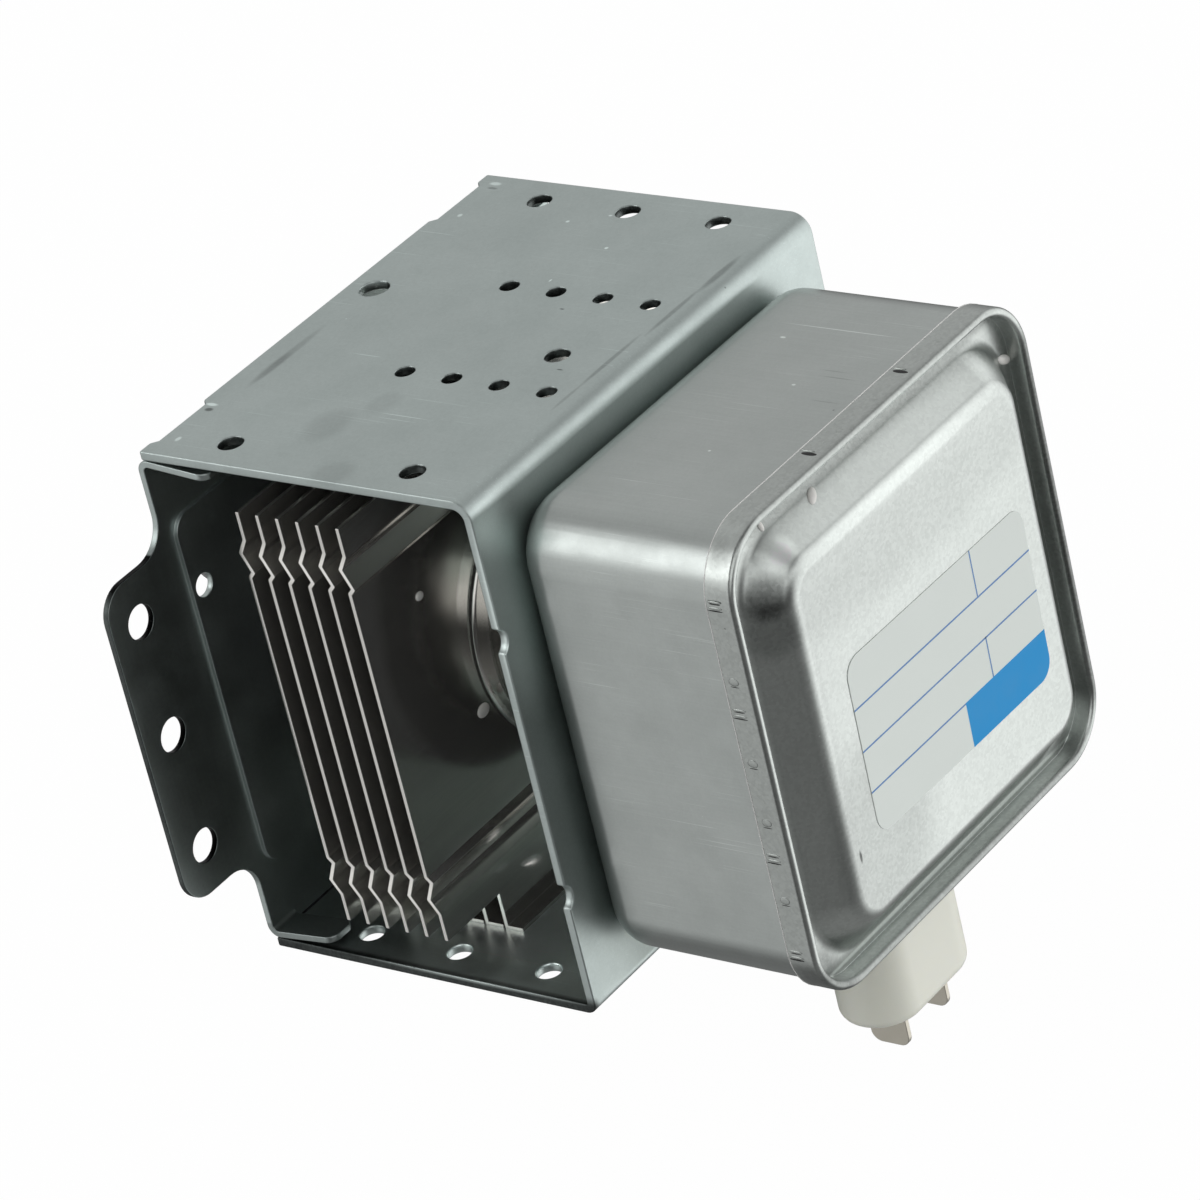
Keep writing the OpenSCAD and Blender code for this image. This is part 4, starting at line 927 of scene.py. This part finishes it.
core = bmesh.new()
rings = []
for step in range(CORE_STEPS):
    lap = math.tau * step / CORE_STEPS
    ring = []
    for side in range(CORE_SIDES):
        wind = math.tau * side / CORE_SIDES
        reach = rope_radius + (rope_half_width - CORE_INSET) * math.cos(wind)
        height = rope_level + (rope_half_height - CORE_INSET) * math.sin(wind)
        ring.append(core.verts.new(Vector((reach * math.cos(lap), height, reach * math.sin(lap))) * MM))
    rings.append(ring)
for step in range(CORE_STEPS):
    this_ring = rings[step]
    next_ring = rings[(step + 1) % CORE_STEPS]
    for side in range(CORE_SIDES):
        after = (side + 1) % CORE_SIDES
        core.faces.new((this_ring[side], this_ring[after], next_ring[after], next_ring[side]))
bmesh.ops.recalc_face_normals(core, faces=core.faces[:])
soften(core)
core_mesh = mesh_of(core, "rf_gasket_core")
new_piece("rf_gasket_core", core_mesh, core_finish, "gasket_mesh")
print("core faces:", len(core_mesh.polygons))

# %% [markdown]
# Rivets hold the box to the web and the connector's flange to the box. A set rivet has a low round head on
# both sides of the sheets. Here each is two flattened balls, one at each side of the stack, and the same
# tree sets them on points that carry the direction of the rivet's axis.

# %% Rivets
RIVET_HEAD_RADIUS = 2.8
RIVET_HEAD_HEIGHT = 0.9


def point_cloud(name, rows):
    """Mesh of points; each row is a place in millimetres, a turn in degrees and a size in millimetres."""
    mesh = bpy.data.meshes.new(name)
    mesh.from_pydata([Vector(row[0]) * MM for row in rows], [], [])
    turns = mesh.attributes.new("turn", "FLOAT_VECTOR", "POINT")
    sizes = mesh.attributes.new("size", "FLOAT_VECTOR", "POINT")
    for number, (_, turn, size) in enumerate(rows):
        turns.data[number].vector = [math.radians(angle) for angle in turn]
        sizes.data[number].vector = Vector(size) * MM
    return mesh


def set_on_points(tree, knob, shape):
    """Sets a shape on the tree's points, with their turn and size."""
    setter = add_node(tree, "GeometryNodeInstanceOnPoints", Points=knob["Points"], Instance=shape)
    for label, socket in (("turn", "Rotation"), ("size", "Scale")):
        attribute = tree.nodes.new("GeometryNodeInputNamedAttribute")
        attribute.data_type = "FLOAT_VECTOR"
        attribute.inputs["Name"].default_value = label
        tree.links.new(attribute.outputs["Attribute"], setter.inputs[socket])
    return setter.outputs[0]


button_tree, knob = new_tree("round_buttons", Finish=steel_finish)
ball = add_node(button_tree, "GeometryNodeMeshUVSphere", Segments=32, Rings=16, Radius=0.5)
end_tree(button_tree, set_on_points(button_tree, knob, ball.outputs[0]), knob["Finish"])


def buttons(name, rows, finish, slot_name, *nodes):
    """Piece of flattened balls, grown on the rows of a point cloud."""
    mesh = run_tree(button_tree, point_cloud(name + "_points", rows), Finish=finish)
    new_piece(name, mesh, finish, slot_name, *nodes)
    print(name, "on points:", len(rows))


rivet_rows = {"box_rivets": [], "flange_rivets": []}
head_size = (2 * RIVET_HEAD_RADIUS, 2 * RIVET_HEAD_RADIUS, 2 * RIVET_HEAD_HEIGHT)
low, high = node_box("box_rivets")
for x in (low.x + RIVET_HEAD_RADIUS, high.x - RIVET_HEAD_RADIUS):
    for z in (low.z + RIVET_HEAD_RADIUS, high.z - RIVET_HEAD_RADIUS):
        for y in (low.y + RIVET_HEAD_HEIGHT, high.y - RIVET_HEAD_HEIGHT):
            rivet_rows["box_rivets"].append(((x, y, z), (90, 0, 0), head_size))
low, high = node_box("flange_rivets")
for x in (low.x + RIVET_HEAD_RADIUS, high.x - RIVET_HEAD_RADIUS):
    for z in (low.z + RIVET_HEAD_HEIGHT, high.z - RIVET_HEAD_HEIGHT):
        rivet_rows["flange_rivets"].append(((x, (low.y + high.y) / 2, z), (0, 0, 0), head_size))
for node, rows in rivet_rows.items():
    buttons(node + "_heads", rows, steel_finish, "tube_steel", node)

# %% [markdown]
# The crimping tool leaves its trace on the lid. Its jaws print pairs of short ridges and small square pips
# on the skirt, and two slots open on the upper side. The marks are shallow, so flattened balls are enough,
# long ones for ridges and short ones for pips. The slots are dark lenses, a painted shadow, because little
# light comes out of such a gap, and thin dark lenses beside the ridges and under the pips are their
# painted shadows.

# %% Marks on the lid
NEAR = (0, -90, 0)
UP = (0, 0, 0)
near_x = -lid_half
top_z = lid_half
SKIRT_Y = panel_y + 5.4

# Height of each pair of ridges and each pip on the skirt's near side, and X of each slot and pip on its top
RIDGE_HEIGHTS = (26.9, 10.7, -11.5, -26.7)
PIP_HEIGHTS = (15.8, 3.4, -5.7, -17.8)
SLOT_PLACES = (10.5, -11.5)
TOP_PIP_PLACES = (19.2, 3.4, -5.2, -17.6)
light_rows = []
# Painted shadows: dark lenses for the slots, beside the ridges and under the pips
shadow_rows = []
for z in RIDGE_HEIGHTS:
    shadow_rows.append(((near_x, SKIRT_Y + 0.2, z - 0.5), NEAR, (0.22, 2.4, 0.05)))
    shadow_rows.append(((near_x, SKIRT_Y + 0.1, z + 0.5), NEAR, (0.16, 1.8, 0.05)))
    light_rows.append(((near_x, SKIRT_Y + 0.1, z + 0.8), NEAR, (0.40, 2.2, 0.20)))
    light_rows.append(((near_x, SKIRT_Y + 0.1, z - 0.1), NEAR, (0.40, 2.2, 0.20)))
for z in PIP_HEIGHTS:
    light_rows.append(((near_x, SKIRT_Y - 0.1, z), NEAR, (1.2, 1.6, 0.16)))
    shadow_rows.append(((near_x, SKIRT_Y - 0.1, z - 0.75), NEAR, (0.14, 1.4, 0.05)))
for x in SLOT_PLACES:
    shadow_rows.append(((x, SKIRT_Y - 0.4, top_z), UP, (0.8, 2.4, 0.06)))
    light_rows.append(((x + 0.7, SKIRT_Y + 0.2, top_z), UP, (0.35, 2.4, 0.30)))
for x in TOP_PIP_PLACES:
    light_rows.append(((x, SKIRT_Y - 1.0, top_z), UP, (0.9, 0.9, 0.12)))
buttons("lid_marks", light_rows, lid_finish, "lid_sheet")
buttons("lid_gaps", shadow_rows, shadow_finish, "lid_sheet")

# %% [markdown]
# The skirt is sheared off after the crimp, which leaves a fine bright burr along its edge. A burr follows a
# path, so it is grown along one: a closed line of the skirt's outline, swept with a tiny circle.

# %% Burr along the skirt
SKIRT_CORNER = 9.3
BURR_RADIUS = 0.10
BURR_SIDES = 6
burr_finish = mottled_finish("bright_burr", (0.85, 0.85, 0.83), 0.40, 0.3, 1.0, 0.2, 0.002)


def rounded_outline(low_x, low_z, high_x, high_z, radii, steps=8):
    """Outline of a rectangle as (X, Z); radii are given from the lower left corner, against the clock."""
    centres = ((low_x, low_z, 1, 1, 180), (high_x, low_z, -1, 1, 270), (high_x, high_z, -1, -1, 0),
               (low_x, high_z, 1, -1, 90))
    outline = []
    for (x, z, side_x, side_z, start), radius in zip(centres, radii):
        for step in range(steps + 1 if radius else 1):
            angle = math.radians(start + 90 * step / steps)
            outline.append((x + side_x * radius + radius * math.cos(angle),
                            z + side_z * radius + radius * math.sin(angle)))
    return outline


burr_tree, knob = new_tree("burr_line", Wire_radius=0.0, Finish=burr_finish)
burr_wire = wire_along(burr_tree, knob["Points"], knob["Wire radius"], BURR_SIDES)
end_tree(burr_tree, burr_wire, knob["Finish"])
half = lid_half - 0.02
skirt_line = rounded_outline(-half, -half, half, half, [SKIRT_CORNER] * 4, steps=10)
points = [Vector((x, lid_high.y - BURR_RADIUS, z)) * MM for x, z in skirt_line]
burr_path = bpy.data.meshes.new("outline")
burr_path.from_pydata(points, [(place, (place + 1) % len(points)) for place in range(len(points))], [])
burr_mesh = run_tree(burr_tree, burr_path, Wire_radius=BURR_RADIUS * MM, Finish=burr_finish)
new_piece("skirt_burr", burr_mesh, burr_finish, "lid_sheet")
print("burr faces:", len(burr_mesh.polygons))

# %% [markdown]
# A few pips were pressed up in the lid's slopes and two more in the last fin, as stops or tool marks.
# Each is set on the sheet by a ray along Y that finds the surface and its slope, so it lies flat on it, and
# it is then spun about its own axis to lie as the real one does.

# %% Pips on the lid and on the last fin
pip_finish = mottled_finish("bright_pip", (0.80, 0.79, 0.76), 0.50, 0.2, 1.0, 0.3, 0.01)
RAY_START_Y = -200.0

# X, Z, size and spin of each pip
LID_PIPS = (
    (-13.8, 31.0, (1.4, 2.8, 0.6), -54),
    (-23.9, 32.2, (0.9, 1.8, 0.6), 0),
    (33.3, 25.0, (1.4, 3.0, 0.8), 60),
)
FIN_PIPS = (
    (-27.9, 15.0, (1.6, 1.3, 0.7), 0),
    (-21.4, -7.1, (2.6, 2.0, 0.8), 0),
)


def pips_on(piece, rows):
    """Rows for a point cloud, with each pip laid on a piece's face towards -Y."""
    shape = bmesh.new()
    shape.from_mesh(piece.data)
    surface = BVHTree.FromBMesh(shape)
    laid = []
    for x, z, size, spin in rows:
        place, normal = surface.ray_cast(Vector((x, RAY_START_Y, z)) * MM, Vector((0, 1, 0)))[:2]
        upright = normal.to_track_quat("Z", "Y")
        turn = (upright @ Quaternion((0, 0, 1), math.radians(spin))).to_euler()
        laid.append((place / MM, [math.degrees(angle) for angle in turn], size))
    shape.free()
    return laid


last_fin = bpy.data.objects["cooling_fin_6_dressed"]
buttons("lid_pips", pips_on(lid, LID_PIPS), pip_finish, "lid_sheet")
buttons("fin_pips", pips_on(last_fin, FIN_PIPS), pip_finish, "fin_aluminium")

# %% [markdown]
# A printed label sits on the panel: white stock with thin blue rules and a blue block, all blank. The sheet
# of the label is an outline of straight runs and corner arcs, drawn flat and given a thickness. Rules and
# block lie a hundredth of a millimetre in front of it, and the label is turned a little, as stuck by hand.

# %% Label
LABEL_CENTRE = Vector((1.6, 0.0, -3.85))
LABEL_TILT = -0.9
LABEL_WIDTH = 43.2
LABEL_HEIGHT = 26.4
LABEL_RADIUS = 2.8
RULE_WIDTH = 0.26
paper_finish = mottled_finish("label_paper", (0.80, 0.86, 0.82), 0.45, 0.0, 5.0, 0.03, 0.003)
ink_finish = mottled_finish(
    "label_blue", (0.020, 0.34, 0.76), 0.60, 0.0, 5.0, 0.05, 0.003, Specular_IOR_Level=0.25)
rule_finish = mottled_finish("label_rules", (0.09, 0.24, 0.54), 0.45, 0.0, 5.0, 0.05, 0.003)


def label_sheet(name, outlines, finish, back_y, front_y):
    """Flat sheets on the label, from (X, Z) outlines about its middle, between two levels of Y."""
    spin = Matrix.Rotation(math.radians(-LABEL_TILT), 4, "Y")
    shape = bmesh.new()
    for outline in outlines:
        front = [shape.verts.new((spin @ Vector((x, 0, z)) + LABEL_CENTRE + Vector((0, front_y, 0))) * MM)
                 for x, z in outline]
        back = [shape.verts.new(vertex.co + Vector((0, (back_y - front_y) * MM, 0))) for vertex in front]
        shape.faces.new(front)
        count = len(front)
        for place in range(count):
            after = (place + 1) % count
            shape.faces.new((front[after], front[place], back[place], back[after]))
    bmesh.ops.recalc_face_normals(shape, faces=shape.faces[:])
    return new_piece(name, mesh_of(shape, name), finish, "label_paper")


half_w = LABEL_WIDTH / 2
half_h = LABEL_HEIGHT / 2
paper_y = panel_y + 0.02
print_y = panel_y + 0.01
sheet_line = rounded_outline(-half_w, -half_h, half_w, half_h, [LABEL_RADIUS] * 4)
label_sheet("label_paper", [sheet_line], paper_finish, panel_y + LABEL_ROOM, paper_y)
BLOCK_LEFT = 1.6
BLOCK_TOP = -half_h + 6.9
block_line = rounded_outline(BLOCK_LEFT, -half_h, half_w, BLOCK_TOP, [0, LABEL_RADIUS, 0, 0])
label_sheet("label_block", [block_line], ink_finish, paper_y, print_y)
RULE_STEP = 6.25
rule_levels = [BLOCK_TOP + RULE_STEP * count for count in range(3)]
rules = [rounded_outline(-half_w, z - RULE_WIDTH, half_w if z > BLOCK_TOP else BLOCK_LEFT, z, [0] * 4)
         for z in rule_levels]
UPRIGHT_X = 8.5
for low_z, high_z in ((rule_levels[0], rule_levels[1]), (rule_levels[2], half_h)):
    rules.append(rounded_outline(UPRIGHT_X, low_z, UPRIGHT_X + RULE_WIDTH, high_z, [0] * 4))
label_sheet("label_rules", rules, rule_finish, paper_y, print_y)
print("label rules:", len(rules))

# %% [markdown]
# The pieces inside the tube and the box can't be seen from outside, so their solids stay as they are. Each
# still gets its real finish, for whoever takes the part apart.

# %% Finishes of the pieces that stay as solids
PLAIN_NODES = (
    (tinned_finish, ("anode_cylinder",)),
    (copper_finish, ("anode_vanes", "strap_rings", "antenna_lead", "exhaust_tube", "choke_coil_1",
                     "choke_coil_2")),
    (iron_finish, ("output_pole_piece", "input_pole_piece")),
    (shell_finish, ("input_shell",)),
    (ceramic_finish, ("stem_ceramic",)),
    (cathode_finish, ("filament", "top_end_hat", "bottom_end_hat", "centre_lead", "side_lead")),
    (plastic_finish, ("capacitor_inner_case",)),
    (ferrite_finish, ("choke_core_1", "choke_core_2")),
)
for finish, nodes in PLAIN_NODES:
    for node in nodes:
        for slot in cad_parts[node].material_slots:
            slot.material = finish
print("solids with a finish:", sum(len(nodes) for finish, nodes in PLAIN_NODES))

# %% [markdown]

# %% End
print("dressing done")
